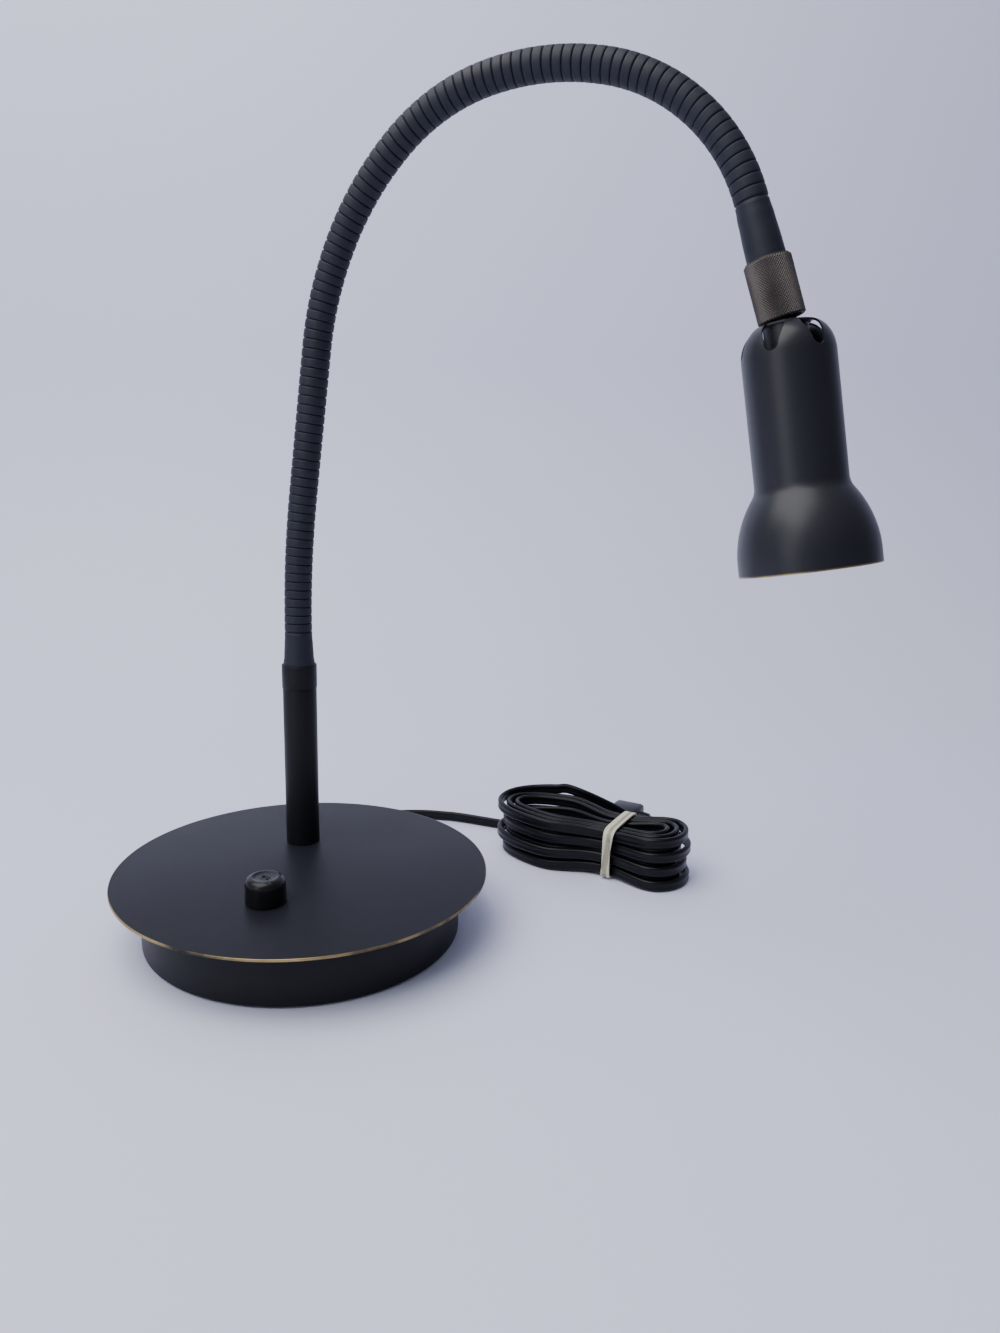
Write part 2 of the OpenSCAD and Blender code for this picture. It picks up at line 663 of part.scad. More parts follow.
module front_glass() color([0.8, 0.85, 0.9, 0.5]) in_shade() translate([0, 0, lamp_z + 0.05])
    cylinder(r = lamp_d / 2 - 0.4, h = glass_t);

module retaining_clip() color(steel) in_shade()
    translate([0, 0, lamp_z + 0.05 + glass_t + clip_r + 0.05]) rotate_extrude(angle = 330)
        translate([bell_r - shade_wall - clip_r - 2 * seat_gap, 0]) circle(r = clip_r, $fn = 24);

// ---------- Cord ----------

relief_end = drum_d / 2 + relief_l;

module cord_grommet() color(black) difference() {
    translate([0, cover_r - 2, exit_h]) rotate([-90, 0, 0]) rotate_extrude() polygon([
        [0, 0], [relief_root_r + 1.2, 0], [relief_root_r + 1.2, 1.9],
        [relief_root_r, 1.9], [relief_root_r, drum_wall + 2.1],
        [relief_root_r + 1.2, drum_wall + 2.2], [relief_root_r + 1, drum_wall + 4],
        [relief_root_r - 0.6, drum_wall + 5.5],
        [cord_w / 2 + 0.9, relief_end - cover_r + 2], [0, relief_end - cover_r + 2]]);
    translate([-cord_t / 2 - seat_gap, cover_r - 9.5, exit_h - cord_w / 2 - seat_gap])
        cube([cord_t + 2 * seat_gap, 11, cord_w + 2 * seat_gap]);
}

// Flat cord on edge, swept along points: four sides cut at the corners make eight
cord_shape = [[0.5, 0.3], [0.3, 0.5], [-0.3, 0.5], [-0.5, 0.3],
    [-0.5, -0.3], [-0.3, -0.5], [0.3, -0.5], [0.5, -0.3]];
hank_shape = [[0.5, 0], [0.3, 0.5], [-0.3, 0.5], [-0.5, 0], [-0.3, -0.5], [0.3, -0.5]];

function heading(pts, k) = let (n = len(pts), d = pts[min(k + 1, n - 1)] - pts[max(k - 1, 0)]) d / norm(d);
function cord_ring(p, d, shape) =
    let (side = [d[1], -d[0], 0] / norm([d[0], d[1]]), over = cross(side, d))
    [for (c = shape) p + side * c[0] * cord_t + over * c[1] * cord_w];

module cord_along(pts, shape) {
    n = len(shape);
    k_end = len(pts) - 1;
    rings = [for (k = [0:k_end]) each cord_ring(pts[k], heading(pts, k), shape)];
    faces = concat(
        [for (k = [0:k_end - 1]) each band_faces(0, k, n, true)],
        [for (m = [1:n - 2]) [0, m + 1, m]],
        [for (m = [1:n - 2]) let (b = k_end * n) [b, b + m, b + m + 1]]);
    polyhedron(points = rings, faces = faces);
}

// Smooth curve through hand-chosen points, steps rings for each stretch
function blend4(a, b, c, d, t) = 0.5 * ((2 * b) + (c - a) * t + (2 * a - 5 * b + 4 * c - d) * t * t
    + (3 * b - a - 3 * c + d) * t * t * t);
function smooth(pts, steps) = let (n = len(pts))
    concat([for (k = [0:n - 2], s = [0:steps - 1])
        blend4(k == 0 ? 2 * pts[0] - pts[1] : pts[k - 1], pts[k], pts[k + 1],
            k == n - 2 ? 2 * pts[n - 1] - pts[n - 2] : pts[k + 2], s / steps)], [pts[n - 1]]);

// From the strain relief to the hank, on the table
run_points = [[0, 94.2, 9], [0, 100, 8.6], [0.4, 107, 7], [3, 116, 4.6], [9, 125, 3.2], [18, 132.4, 3],
    [30, 136.6, 3], [43, 138, 3], [57, 136.6, 3], [71, 133, 3]];
// From the hank's last turn to the plug behind it, in the hank's own frame
tail_points = [[-20, 22, 28], [-8, 28, 22], [6, 35, 14], [17, 43, 8.6], [20, 51, 6.6], [14, 57, 6.3],
    [6, 58, 6.3]];

function hank_to_world(p) = [hank_at[0] + p[0] * cos(hank_turn) - p[1] * sin(hank_turn),
    hank_at[1] + p[0] * sin(hank_turn) + p[1] * cos(hank_turn), p[2]];
function ease(x) = let (t = max(0, min(1, x))) t * t * (3 - 2 * t);
// Point of the hank after s turns
function hank_point(s) =
    let (layer = min(floor(s / turns_per_layer), hank_layers - 1),
         way = s - layer * turns_per_layer,
         inset = layer % 2 == 0 ? way : turns_per_layer - way,
         up = layer + ease((way - turns_per_layer + 0.25) / 0.5) - (layer == 0 ? 0 :
             1 - ease((way + 0.25) / 0.5)),
         a = hank_start - 360 * s,
         c = abs(cos(a)),
         long = cos(a) > 0 ? hank_right : hank_left,
         x = hank_waist_x * (1 - c) + (long - lobe_step * inset) * cos(a),
         full = pow(max(0, 1 - pow(c, 2.6)), 1 / 2.2),
         spread = ease((abs(x - hank_waist_x) - waist_flat) / lobe_run),
         step = waist_step + (lobe_step - waist_step) * spread,
         half = waist_half + (lobe_half - waist_half) * spread - step * inset)
    [x, hank_y + (sin(a) < 0 ? -1 : 1) * half * full,
     cord_z + waist_lift * (1 - spread) + up * layer_step * (1 + lobe_fan * spread)];

hank_points = [for (k = [0:hank_turns * hank_rings]) hank_point(k / hank_rings)];
// Room between two places on the cord, less its own thickness that way
function cord_room(p, q) = let (d = q - p, flat = norm([d[0], d[1]]), l = norm(d))
    l - 2 / norm([flat / l / (cord_t / 2), d[2] / l / (cord_w / 2)]);
function least_room(pts) = min([for (k = [0:len(pts) - 1], m = [k + 8:1:len(pts) - 1])
    cord_room(pts[k], pts[m])]);

module cord_run() color(black) {
    start = hank_points[0];
    d = hank_points[0] - hank_points[1];
    u = [d[0], d[1], 0] / norm([d[0], d[1]]);
    into = [for (w = [14, 7, 0.02]) hank_to_world(start + u * w)];
    cord_along(smooth(concat(run_points, into), 4), cord_shape);
    end = hank_points[len(hank_points) - 1];
    e = end - hank_points[len(hank_points) - 2];
    v = e / norm(e);
    tail = concat([for (w = [0.02, 6]) end + v * w], tail_points);
    cord_along([for (p = smooth(tail, 4)) hank_to_world(p)], cord_shape);
}

module cord_hank() color(black) {
    echo(least_gap_in_hank = least_room(hank_points));
    cord_along([for (p = hank_points) hank_to_world(p)], hank_shape);
}

band_room = 0.3;
band_half = waist_half + cord_t / 2 + band_room;
band_low = 0.1;
band_top = cord_z + waist_lift + (hank_layers - 1) * layer_step + cord_w / 2 + band_room;

module band_outline(grow) {
    r = 2.4;
    hull() for (x = [-1, 1], z = [band_low + band_t - grow + r, band_top + grow - r])
        translate([x * (band_half + grow - r), z]) circle(r = r, $fn = 32);
}

module in_hank() {
    translate([hank_at[0], hank_at[1], 0]) rotate([0, 0, hank_turn]) children();
}

module cord_band() color(cream) in_hank() translate([band_x - band_l / 2, hank_y, 0])
    rotate([90, 0, 90]) linear_extrude(band_l) difference() {
        band_outline(band_t);
        band_outline(0);
    }

plug_l = 24;
plug_w = 20;
plug_t = 12;
plug_front = [tail_points[len(tail_points) - 1][0], tail_points[len(tail_points) - 1][1]];
plug_z = 6.3;

module plug_body() color(black) in_hank() difference() {
    translate([plug_front[0], plug_front[1], plug_z]) {
        rotate([0, -90, 0]) cylinder(r1 = 4, r2 = 5, h = 8);
        translate([-plug_l, -plug_w / 2, -plug_t / 2]) cube([plug_l - 6, plug_w, plug_t]);
    }
    for (s = [-1, 1]) translate([plug_front[0] - plug_l - 1, plug_front[1] + s * 6.35 - 0.9,
        plug_z - 3.3]) cube([9, 1.8, 6.6]);
}

module plug_pins() color(brass) in_hank() for (s = [-1, 1])
    translate([plug_front[0] - plug_l - 17, plug_front[1] + s * 6.35 - 0.75, plug_z - 3.15])
        cube([24.8, 1.5, 6.3]);

base_plate();
base_drum();
ballast_ring();
bottom_cover();
foot_pad();
cover_screws();
transformer();
terminal_block();
base_wires();
dimmer_case();
panel_nuts();
dimmer_shaft();
knob();
stem_tube();
stem_collar();
stem_nipple();
neck_socket();
lower_ferrule();
for (i = [1:links]) {
    sleeve(i - 1);
    core(i - 1);
    lead(i - 1);
}
upper_ferrule();
head_spigot();
knurled_collar();
lead_head();
shade();
holder_cup();
lamp_holder();
reflector();
capsule();
front_glass();
retaining_clip();
cord_grommet();
cord_run();
cord_hank();
cord_band();
plug_body();
plug_pins();
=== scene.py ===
"""Gooseneck desk lamp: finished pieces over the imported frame, a plain stage and the camera."""

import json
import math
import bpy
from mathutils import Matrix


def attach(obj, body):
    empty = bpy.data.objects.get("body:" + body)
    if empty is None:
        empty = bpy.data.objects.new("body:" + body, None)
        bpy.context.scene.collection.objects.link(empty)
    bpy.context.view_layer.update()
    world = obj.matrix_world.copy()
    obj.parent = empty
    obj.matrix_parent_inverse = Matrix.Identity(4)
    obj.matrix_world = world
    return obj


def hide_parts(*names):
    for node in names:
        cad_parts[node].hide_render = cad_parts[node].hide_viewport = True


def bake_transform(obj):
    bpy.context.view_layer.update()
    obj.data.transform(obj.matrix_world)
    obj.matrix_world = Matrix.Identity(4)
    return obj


bl_info = {
    "name": "Gooseneck Desk Lamp",
    "version": (1, 0, 0),
    "blender": (4, 5, 0),
    "location": "View3D > Sidebar > Lamp",
    "description": "Builds the finished pieces of a gooseneck desk lamp on its frame",
    "category": "Add Mesh",
}

import bmesh
import bpy
from bpy.props import FloatProperty, FloatVectorProperty, IntProperty, PointerProperty
from mathutils import Matrix, Vector

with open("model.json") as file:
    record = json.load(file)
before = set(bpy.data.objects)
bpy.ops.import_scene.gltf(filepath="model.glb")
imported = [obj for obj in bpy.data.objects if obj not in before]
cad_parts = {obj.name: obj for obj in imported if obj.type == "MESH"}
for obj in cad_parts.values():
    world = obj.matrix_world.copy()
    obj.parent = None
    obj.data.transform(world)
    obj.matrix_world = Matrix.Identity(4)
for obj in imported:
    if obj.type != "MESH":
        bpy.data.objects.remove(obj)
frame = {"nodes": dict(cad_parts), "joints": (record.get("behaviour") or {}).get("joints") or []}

MM = 0.001
JOINTS = {j["name"]: j for j in frame["joints"]}

# The neck's line: length and turn of each link, and the plane that it lies in
LINKS = ((64, 7.5), (64, 0), (48, 19), (44, 20.5), (44, 30.5), (48, 25), (48, 34.5), (32, 24))
NECK_START = Vector(JOINTS["neck_lean_low"]["pos_m"])
PLANE = math.radians(20)
OUT = Vector((math.cos(PLANE), -math.sin(PLANE), 0))
CURL = Vector((math.sin(PLANE), math.cos(PLANE), 0))
UP = Vector((0, 0, 1))
NECK_LENGTH = sum(length for length, _ in LINKS)
SWIVEL = Vector(JOINTS["shade_swivel"]["pos_m"])
SHADE_LEAN = math.radians(9)
CROWN_OVER_SWIVEL = 4.5


# ---------- Geometry helpers ----------


def make_object(name, verts, faces, place=None, smooth_angle=35):
    """A closed mesh object at the origin, its faces outwards, its points moved by place."""
    mesh = bpy.data.meshes.new(name)
    mesh.from_pydata([tuple(v) for v in verts], [], faces)
    if place is not None:
        mesh.transform(place)
    return finish_mesh(name, mesh, smooth_angle)


def finish_mesh(name, mesh, smooth_angle=35):
    """Points a mesh's faces outwards, smooths it up to an angle and makes its object."""
    work = bmesh.new()
    work.from_mesh(mesh)
    bmesh.ops.remove_doubles(work, verts=work.verts, dist=1e-7)
    bmesh.ops.recalc_face_normals(work, faces=work.faces)
    work.to_mesh(mesh)
    work.free()
    mesh.shade_smooth()
    mesh.set_sharp_from_angle(angle=math.radians(smooth_angle))
    mesh.name = name
    obj = bpy.data.objects.new(name, mesh)
    bpy.context.scene.collection.objects.link(obj)
    return obj


def softened(outline, radius, steps=3):
    """The outline with its corners rounded, except those on the axis. Sizes in millimetres."""
    result = []
    count = len(outline)
    for k, (r, z) in enumerate(outline):
        before, after = outline[k - 1], outline[(k + 1) % count]
        if r <= 1e-6:
            result.append((r, z))
            continue
        corner = Vector((r, z))
        to_before = Vector(before) - corner
        to_after = Vector(after) - corner
        reach = min(radius, 0.45 * to_before.length, 0.45 * to_after.length)
        first = corner + to_before.normalized() * reach
        last = corner + to_after.normalized() * reach
        for step in range(steps + 1):
            t = step / steps
            point = first * (1 - t) ** 2 + corner * 2 * t * (1 - t) + last * t ** 2
            result.append((point.x, point.y))
    return result


def lathe(name, outline, segments=128, place=None, smooth_angle=35):
    """Turns a closed outline of (radius, height) in millimetres about the Z axis."""
    verts, rows = [], []
    for r, z in outline:
        if r <= 1e-6:
            rows.append([len(verts)] * segments)
            verts.append((0, 0, z * MM))
            continue
        rows.append(list(range(len(verts), len(verts) + segments)))
        for n in range(segments):
            a = 2 * math.pi * n / segments
            verts.append((r * math.cos(a) * MM, r * math.sin(a) * MM, z * MM))
    faces = []
    for k in range(len(rows)):
        low, high = rows[k], rows[(k + 1) % len(rows)]
        for n in range(segments):
            m = (n + 1) % segments
            loop = list(dict.fromkeys((low[n], low[m], high[m], high[n])))
            if len(loop) > 2:
                faces.append(loop)
    return make_object(name, verts, faces, place, smooth_angle)


def box(name, size, centre, place=None, bevel=0.0):
    """A box in millimetres, its edges rounded."""
    work = bmesh.new()
    bmesh.ops.create_cube(work, size=1)
    bmesh.ops.scale(work, vec=Vector(size) * MM, verts=work.verts)
    bmesh.ops.translate(work, vec=Vector(centre) * MM, verts=work.verts)
    if bevel:
        bmesh.ops.bevel(work, geom=work.edges[:], offset=bevel * MM, segments=3, profile=0.5,
                        affect="EDGES")
    mesh = bpy.data.meshes.new(name)
    work.to_mesh(mesh)
    work.free()
    if place is not None:
        mesh.transform(place)
    return finish_mesh(name, mesh)


def cut(obj, cutter, smooth_angle=35):
    """Cuts the cutter out of obj for good, and removes the cutter."""
    modifier = obj.modifiers.new("Cut", "BOOLEAN")
    modifier.operation = "DIFFERENCE"
    modifier.solver = "EXACT"
    modifier.object = cutter
    return settle(obj, smooth_angle, cutter)


def settle(obj, smooth_angle=35, *spent):
    """Turns obj's modifiers into plain mesh and removes the objects that were used up."""
    bpy.context.view_layer.update()
    graph = bpy.context.evaluated_depsgraph_get()
    mesh = bpy.data.meshes.new_from_object(obj.evaluated_get(graph),
                                           preserve_all_data_layers=True, depsgraph=graph)
    name = obj.name
    for old in (obj, *spent):
        old_mesh = old.data
        bpy.data.objects.remove(old)
        bpy.data.meshes.remove(old_mesh)
    return finish_mesh(name, mesh, smooth_angle)


def joined(name, *objects):
    """One object made of several."""
    work = bmesh.new()
    for obj in objects:
        work.from_mesh(obj.data)
    mesh = bpy.data.meshes.new(name)
    work.to_mesh(mesh)
    work.free()
    for obj in objects:
        old = obj.data
        bpy.data.objects.remove(obj)
        bpy.data.meshes.remove(old)
    return finish_mesh(name, mesh)


def tube(name, points, outline):
    """Sweeps an outline of (side, over) along points, all in metres, with flat ends."""
    verts, faces = [], []
    count = len(outline)
    last = len(points) - 1
    for k, point in enumerate(points):
        heading = (points[min(k + 1, last)] - points[max(k - 1, 0)]).normalized()
        side = Vector((heading.y, -heading.x, 0)).normalized()
        over = side.cross(heading).normalized()
        side = heading.cross(over).normalized()
        for a, b in outline:
            verts.append(point + side * a + over * b)
    for k in range(last):
        for n in range(count):
            m = (n + 1) % count
            faces.append((k * count + n, k * count + m, (k + 1) * count + m, (k + 1) * count + n))
    faces.append(tuple(range(count)))
    faces.append(tuple(range(last * count, (last + 1) * count)))
    return make_object(name, verts, faces, smooth_angle=50)


def frame_matrix(x, y, z, at):
    """The matrix that puts local axes on x, y and z, and the local origin at a point."""
    matrix = Matrix.Identity(4)
    for row in range(3):
        matrix[row][0], matrix[row][1], matrix[row][2] = x[row], y[row], z[row]
        matrix[row][3] = at[row]
    return matrix


def leaning(lean):
    """Side direction and heading of the neck where it leans by that angle."""
    return (OUT * math.cos(lean) - UP * math.sin(lean),
            OUT * math.sin(lean) + UP * math.cos(lean))


def neck_place(s):
    """Point, side direction and heading of the neck's line, s millimetres past its first joint."""
    point, lean = NECK_START.copy(), 0.0
    if s <= 0:
        return point + UP * s * MM, OUT.copy(), UP.copy()
    left = s
    for length, turn in LINKS:
        part = min(left, length)
        angle = math.radians(turn) * part / length
        if angle:
            radius = length / math.radians(turn)
            across, along = radius * (1 - math.cos(angle)), radius * math.sin(angle)
        else:
            across, along = 0.0, part
        side, ahead = leaning(lean)
        point = point + (side * across + ahead * along) * MM
        lean += angle
        left -= part
        if left <= 0:
            break
    side, ahead = leaning(lean)
    return point + ahead * max(left, 0) * MM, side, ahead


def head_matrix():
    """The head's own frame: Z away from the neck's end."""
    point, side, ahead = neck_place(NECK_LENGTH)
    return frame_matrix(side, CURL, ahead, point)


def shade_matrix():
    """The shade's own frame: the crown at 0, Z towards the rim."""
    axis = Vector(JOINTS["shade_swivel"]["axis"])
    turn = Matrix.Rotation(SHADE_LEAN, 4, axis)
    _, side, ahead = neck_place(NECK_LENGTH)
    crown = frame_matrix(turn @ side, turn @ CURL, turn @ ahead, SWIVEL)
    return crown @ Matrix.Translation((0, 0, -CROWN_OVER_SWIVEL * MM))


# ---------- Node helpers ----------


class Nodes:
    """Adds nodes to a tree, and links them by socket."""

    def __init__(self, tree):
        self.tree = tree
        self.x = 0

    def add(self, kind, operation=None, **values):
        node = self.tree.nodes.new(kind)
        self.x += 180
        node.location = (self.x, 0)
        if operation:
            node.operation = operation
        for name, value in values.items():
            setattr(node, name, value)
        return node

    def link(self, source, target):
        self.tree.links.new(source, target)

    def math(self, operation, a, b=None, clamp=False):
        """A Math node; a and b are sockets or numbers."""
        node = self.add("ShaderNodeMath", operation, use_clamp=clamp)
        for socket, value in zip(node.inputs, (a, b)):
            if value is None:
                continue
            if isinstance(value, (int, float)):
                socket.default_value = value
            else:
                self.link(value, socket)
        return node.outputs[0]

    def step(self, value, low, high):
        """0 up to low, 1 from high on, and smooth in between."""
        node = self.add("ShaderNodeMapRange", interpolation_type="SMOOTHSTEP")
        self.link(value, node.inputs["Value"])
        for socket, edge in zip(("From Min", "From Max"), (low, high)):
            if isinstance(edge, (int, float)):
                node.inputs[socket].default_value = edge
            else:
                self.link(edge, node.inputs[socket])
        return node.outputs["Result"]

    def noise(self, scale, detail=3.0, vector=None):
        node = self.add("ShaderNodeTexNoise")
        node.inputs["Detail"].default_value = detail
        if isinstance(scale, (int, float)):
            node.inputs["Scale"].default_value = scale
        else:
            self.link(scale, node.inputs["Scale"])
        if vector is not None:
            self.link(vector, node.inputs["Vector"])
        return node.outputs["Fac"]

    def mix(self, factor, a, b):
        """Colour mix; each of a and b is a socket or a colour."""
        node = self.add("ShaderNodeMix", data_type="RGBA")
        self.link(factor, node.inputs["Factor"])
        for name, value in (("A", a), ("B", b)):
            socket = [s for s in node.inputs if s.name == name and s.type == "RGBA"][0]
            if isinstance(value, (tuple, list)):
                socket.default_value = (*value, 1)
            else:
                self.link(value, socket)
        return [s for s in node.outputs if s.type == "RGBA"][0]


def shader_group(name, inputs, outputs):
    """A shared shader group with its sockets; returns (tree, Nodes, input node, output node)."""
    tree = bpy.data.node_groups.new(name, "ShaderNodeTree")
    for socket, kind, value in inputs:
        item = tree.interface.new_socket(name=socket, in_out="INPUT", socket_type=kind)
        item.default_value = value
    for socket, kind in outputs:
        tree.interface.new_socket(name=socket, in_out="OUTPUT", socket_type=kind)
    nodes = Nodes(tree)
    start, end = nodes.add("NodeGroupInput"), nodes.add("NodeGroupOutput")
    return tree, nodes, start, end


FLOAT, COLOR, VECTOR = "NodeSocketFloat", "NodeSocketColor", "NodeSocketVector"


def grain_group():
    """Cloudy tone and fine grain, for paint, rubber and cast pieces."""
    tree, n, start, end = shader_group(
        "Surface Grain",
        [("Tone A", COLOR, (0, 0, 0, 1)), ("Tone B", COLOR, (0, 0, 0, 1)),
         ("Cloud Scale", FLOAT, 30), ("Grain Scale", FLOAT, 900),
         ("Rough Low", FLOAT, 0.4), ("Rough High", FLOAT, 0.5)],
        [("Color", COLOR), ("Roughness", FLOAT), ("Height", FLOAT)])
    place = n.add("ShaderNodeTexCoord").outputs["Object"]
    cloud = n.noise(start.outputs["Cloud Scale"], 4, place)
    fine = n.noise(start.outputs["Grain Scale"], 2, place)
    both = n.math("ADD", n.math("MULTIPLY", cloud, 0.75), n.math("MULTIPLY", fine, 0.25))
    spread = n.step(both, 0.3, 0.7)
    n.link(n.mix(spread, start.outputs["Tone A"], start.outputs["Tone B"]), end.inputs["Color"])
    span = n.math("SUBTRACT", start.outputs["Rough High"], start.outputs["Rough Low"])
    rough = n.math("ADD", start.outputs["Rough Low"], n.math("MULTIPLY", span, spread))
    n.link(rough, end.inputs["Roughness"])
    n.link(fine, end.inputs["Height"])
    return tree


def wear_group():
    """Paint worn to the metal beyond a level, measured along an axis or out from the Z axis."""
    tree, n, start, end = shader_group(
        "Edge Wear",
        [("Paint", COLOR, (0, 0, 0, 1)), ("Metal", COLOR, (0.6, 0.5, 0.3, 1)),
         ("Axis", VECTOR, (0, 0, 0)), ("Radial", FLOAT, 1), ("Level", FLOAT, 0.1),
         ("Band", FLOAT, 0.001), ("Patch Scale", FLOAT, 60), ("Amount", FLOAT, 1)],
        [("Color", COLOR), ("Mask", FLOAT)])
    place = n.add("ShaderNodeTexCoord").outputs["Object"]
    along = n.add("ShaderNodeVectorMath", "DOT_PRODUCT")
    n.link(place, along.inputs[0])
    n.link(start.outputs["Axis"], along.inputs[1])
    flat = n.add("ShaderNodeVectorMath", "MULTIPLY")
    n.link(place, flat.inputs[0])
    flat.inputs[1].default_value = (1, 1, 0)
    reach = n.add("ShaderNodeVectorMath", "LENGTH")
    n.link(flat.outputs[0], reach.inputs[0])
    out = n.math("MULTIPLY", reach.outputs["Value"], start.outputs["Radial"])
    where = n.math("ADD", along.outputs["Value"], out)
    low = n.math("SUBTRACT", start.outputs["Level"], start.outputs["Band"])
    edge = n.step(where, low, start.outputs["Level"])
    patch = n.step(n.noise(start.outputs["Patch Scale"], 5, place), 0.32, 0.62)
    mask = n.math("MULTIPLY", n.math("MULTIPLY", edge, patch), start.outputs["Amount"], clamp=True)
    n.link(n.mix(mask, start.outputs["Paint"], start.outputs["Metal"]), end.inputs["Color"])
    n.link(mask, end.inputs["Mask"])
    return tree


def dust_group():
    """A little pale dust on what faces up."""
    tree, n, start, end = shader_group(
        "Settled Dust", [("Color", COLOR, (0, 0, 0, 1)), ("Dust", COLOR, (0.5, 0.5, 0.5, 1)),
                         ("Amount", FLOAT, 0.1)], [("Color", COLOR)])
    normal = n.add("ShaderNodeNewGeometry").outputs["Normal"]
    split = n.add("ShaderNodeSeparateXYZ")
    n.link(normal, split.inputs[0])
    up = n.step(split.outputs["Z"], 0.3, 1.0)
    place = n.add("ShaderNodeTexCoord").outputs["Object"]
    speck = n.step(n.noise(700.0, 2, place), 0.45, 0.8)
    mask = n.math("MULTIPLY", n.math("MULTIPLY", up, speck), start.outputs["Amount"], clamp=True)
    n.link(n.mix(mask, start.outputs["Color"], start.outputs["Dust"]), end.inputs["Color"])
    return tree


def shared(name):
    """The shared shader group of that name, built when it is first asked for."""
    makers = {"Surface Grain": grain_group, "Edge Wear": wear_group, "Settled Dust": dust_group}
    return bpy.data.node_groups.get(name) or makers[name]()


def use_group(n, name, **values):
    node = n.add("ShaderNodeGroup")
    node.node_tree = shared(name)
    for key, value in values.items():
        socket = node.inputs[key.replace("_", " ").title()]
        if hasattr(value, "is_output"):
            n.link(value, socket)
        elif socket.type == "RGBA":
            socket.default_value = (*value[:3], 1)
        else:
            socket.default_value = value
    return node


BUMP_DEPTH = 0.0002
DUST_TONE = (0.42, 0.43, 0.46)


def material(name, tone, rough=(0.4, 0.5), metallic=0.0, spread=1.25, cloud=30.0, grain=900.0,
             bump=0.0, specular=0.5, wear=None, dust=0.0, alpha=1.0, transmission=0.0):
    """A procedural finish: two tones of grain, with worn edges and dust where asked for."""
    found = bpy.data.materials.get(name)
    if found:
        return found
    made = bpy.data.materials.new(name)
    made.use_nodes = True
    made.diffuse_color = (*tone, alpha)
    tree = made.node_tree
    shader = tree.nodes["Principled BSDF"]
    n = Nodes(tree)
    second = tuple(min(1.0, c * spread) for c in tone)
    group = use_group(n, "Surface Grain", tone_a=tone, tone_b=second, cloud_scale=cloud,
                      grain_scale=grain, rough_low=rough[0], rough_high=rough[1])
    color = group.outputs["Color"]
    if wear:
        worn = use_group(n, "Edge Wear", paint=color, **wear)
        color = worn.outputs["Color"]
        n.link(worn.outputs["Mask"], shader.inputs["Metallic"])
    else:
        shader.inputs["Metallic"].default_value = metallic
    if dust:
        color = use_group(n, "Settled Dust", color=color, dust=DUST_TONE,
                          amount=dust).outputs["Color"]
    n.link(color, shader.inputs["Base Color"])
    n.link(group.outputs["Roughness"], shader.inputs["Roughness"])
    if bump:
        node = n.add("ShaderNodeBump")
        node.inputs["Strength"].default_value = bump
        node.inputs["Distance"].default_value = BUMP_DEPTH
        n.link(group.outputs["Height"], node.inputs["Height"])
        n.link(node.outputs["Normal"], shader.inputs["Normal"])
    shader.inputs["Specular IOR Level"].default_value = specular
    shader.inputs["Alpha"].default_value = alpha
    shader.inputs["Transmission Weight"].default_value = transmission
    return made


def give(obj, finish):
    """obj has that one finish."""
    obj.data.materials.clear()
    obj.data.materials.append(finish)
    return obj


def cord_black():
    """The finish of cord, plug and strain relief."""
    tone = tuple(bpy.context.scene.lamp_finish.cord)
    return material("Cord Black", tone, (0.28, 0.38), spread=1.5, bump=0.08, specular=0.2)


def put(obj, finish, body, *nodes):
    """Finishes obj, hides the CAD nodes it stands for and lets it ride on its body."""
    give(obj, finish)
    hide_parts(*nodes)
    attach(obj, body)
    return obj


# ---------- Geometry nodes ----------


def geometry_group(name, inputs):
    tree = bpy.data.node_groups.new(name, "GeometryNodeTree")
    tree.interface.new_socket(name="Geometry", in_out="INPUT", socket_type="NodeSocketGeometry")
    for socket, kind, value in inputs:
        item = tree.interface.new_socket(name=socket, in_out="INPUT", socket_type=kind)
        if value is not None:
            item.default_value = value
    tree.interface.new_socket(name="Geometry", in_out="OUTPUT", socket_type="NodeSocketGeometry")
    nodes = Nodes(tree)
    return tree, nodes, nodes.add("NodeGroupInput"), nodes.add("NodeGroupOutput")


def close_group(n, start, end, geometry):
    """Realizes the instances and sets the material, as each of these groups ends."""
    real = n.add("GeometryNodeRealizeInstances")
    paint = n.add("GeometryNodeSetMaterial")
    n.link(geometry, real.inputs["Geometry"])
    n.link(real.outputs["Geometry"], paint.inputs["Geometry"])
    n.link(start.outputs["Material"], paint.inputs["Material"])
    n.link(paint.outputs["Geometry"], end.inputs["Geometry"])


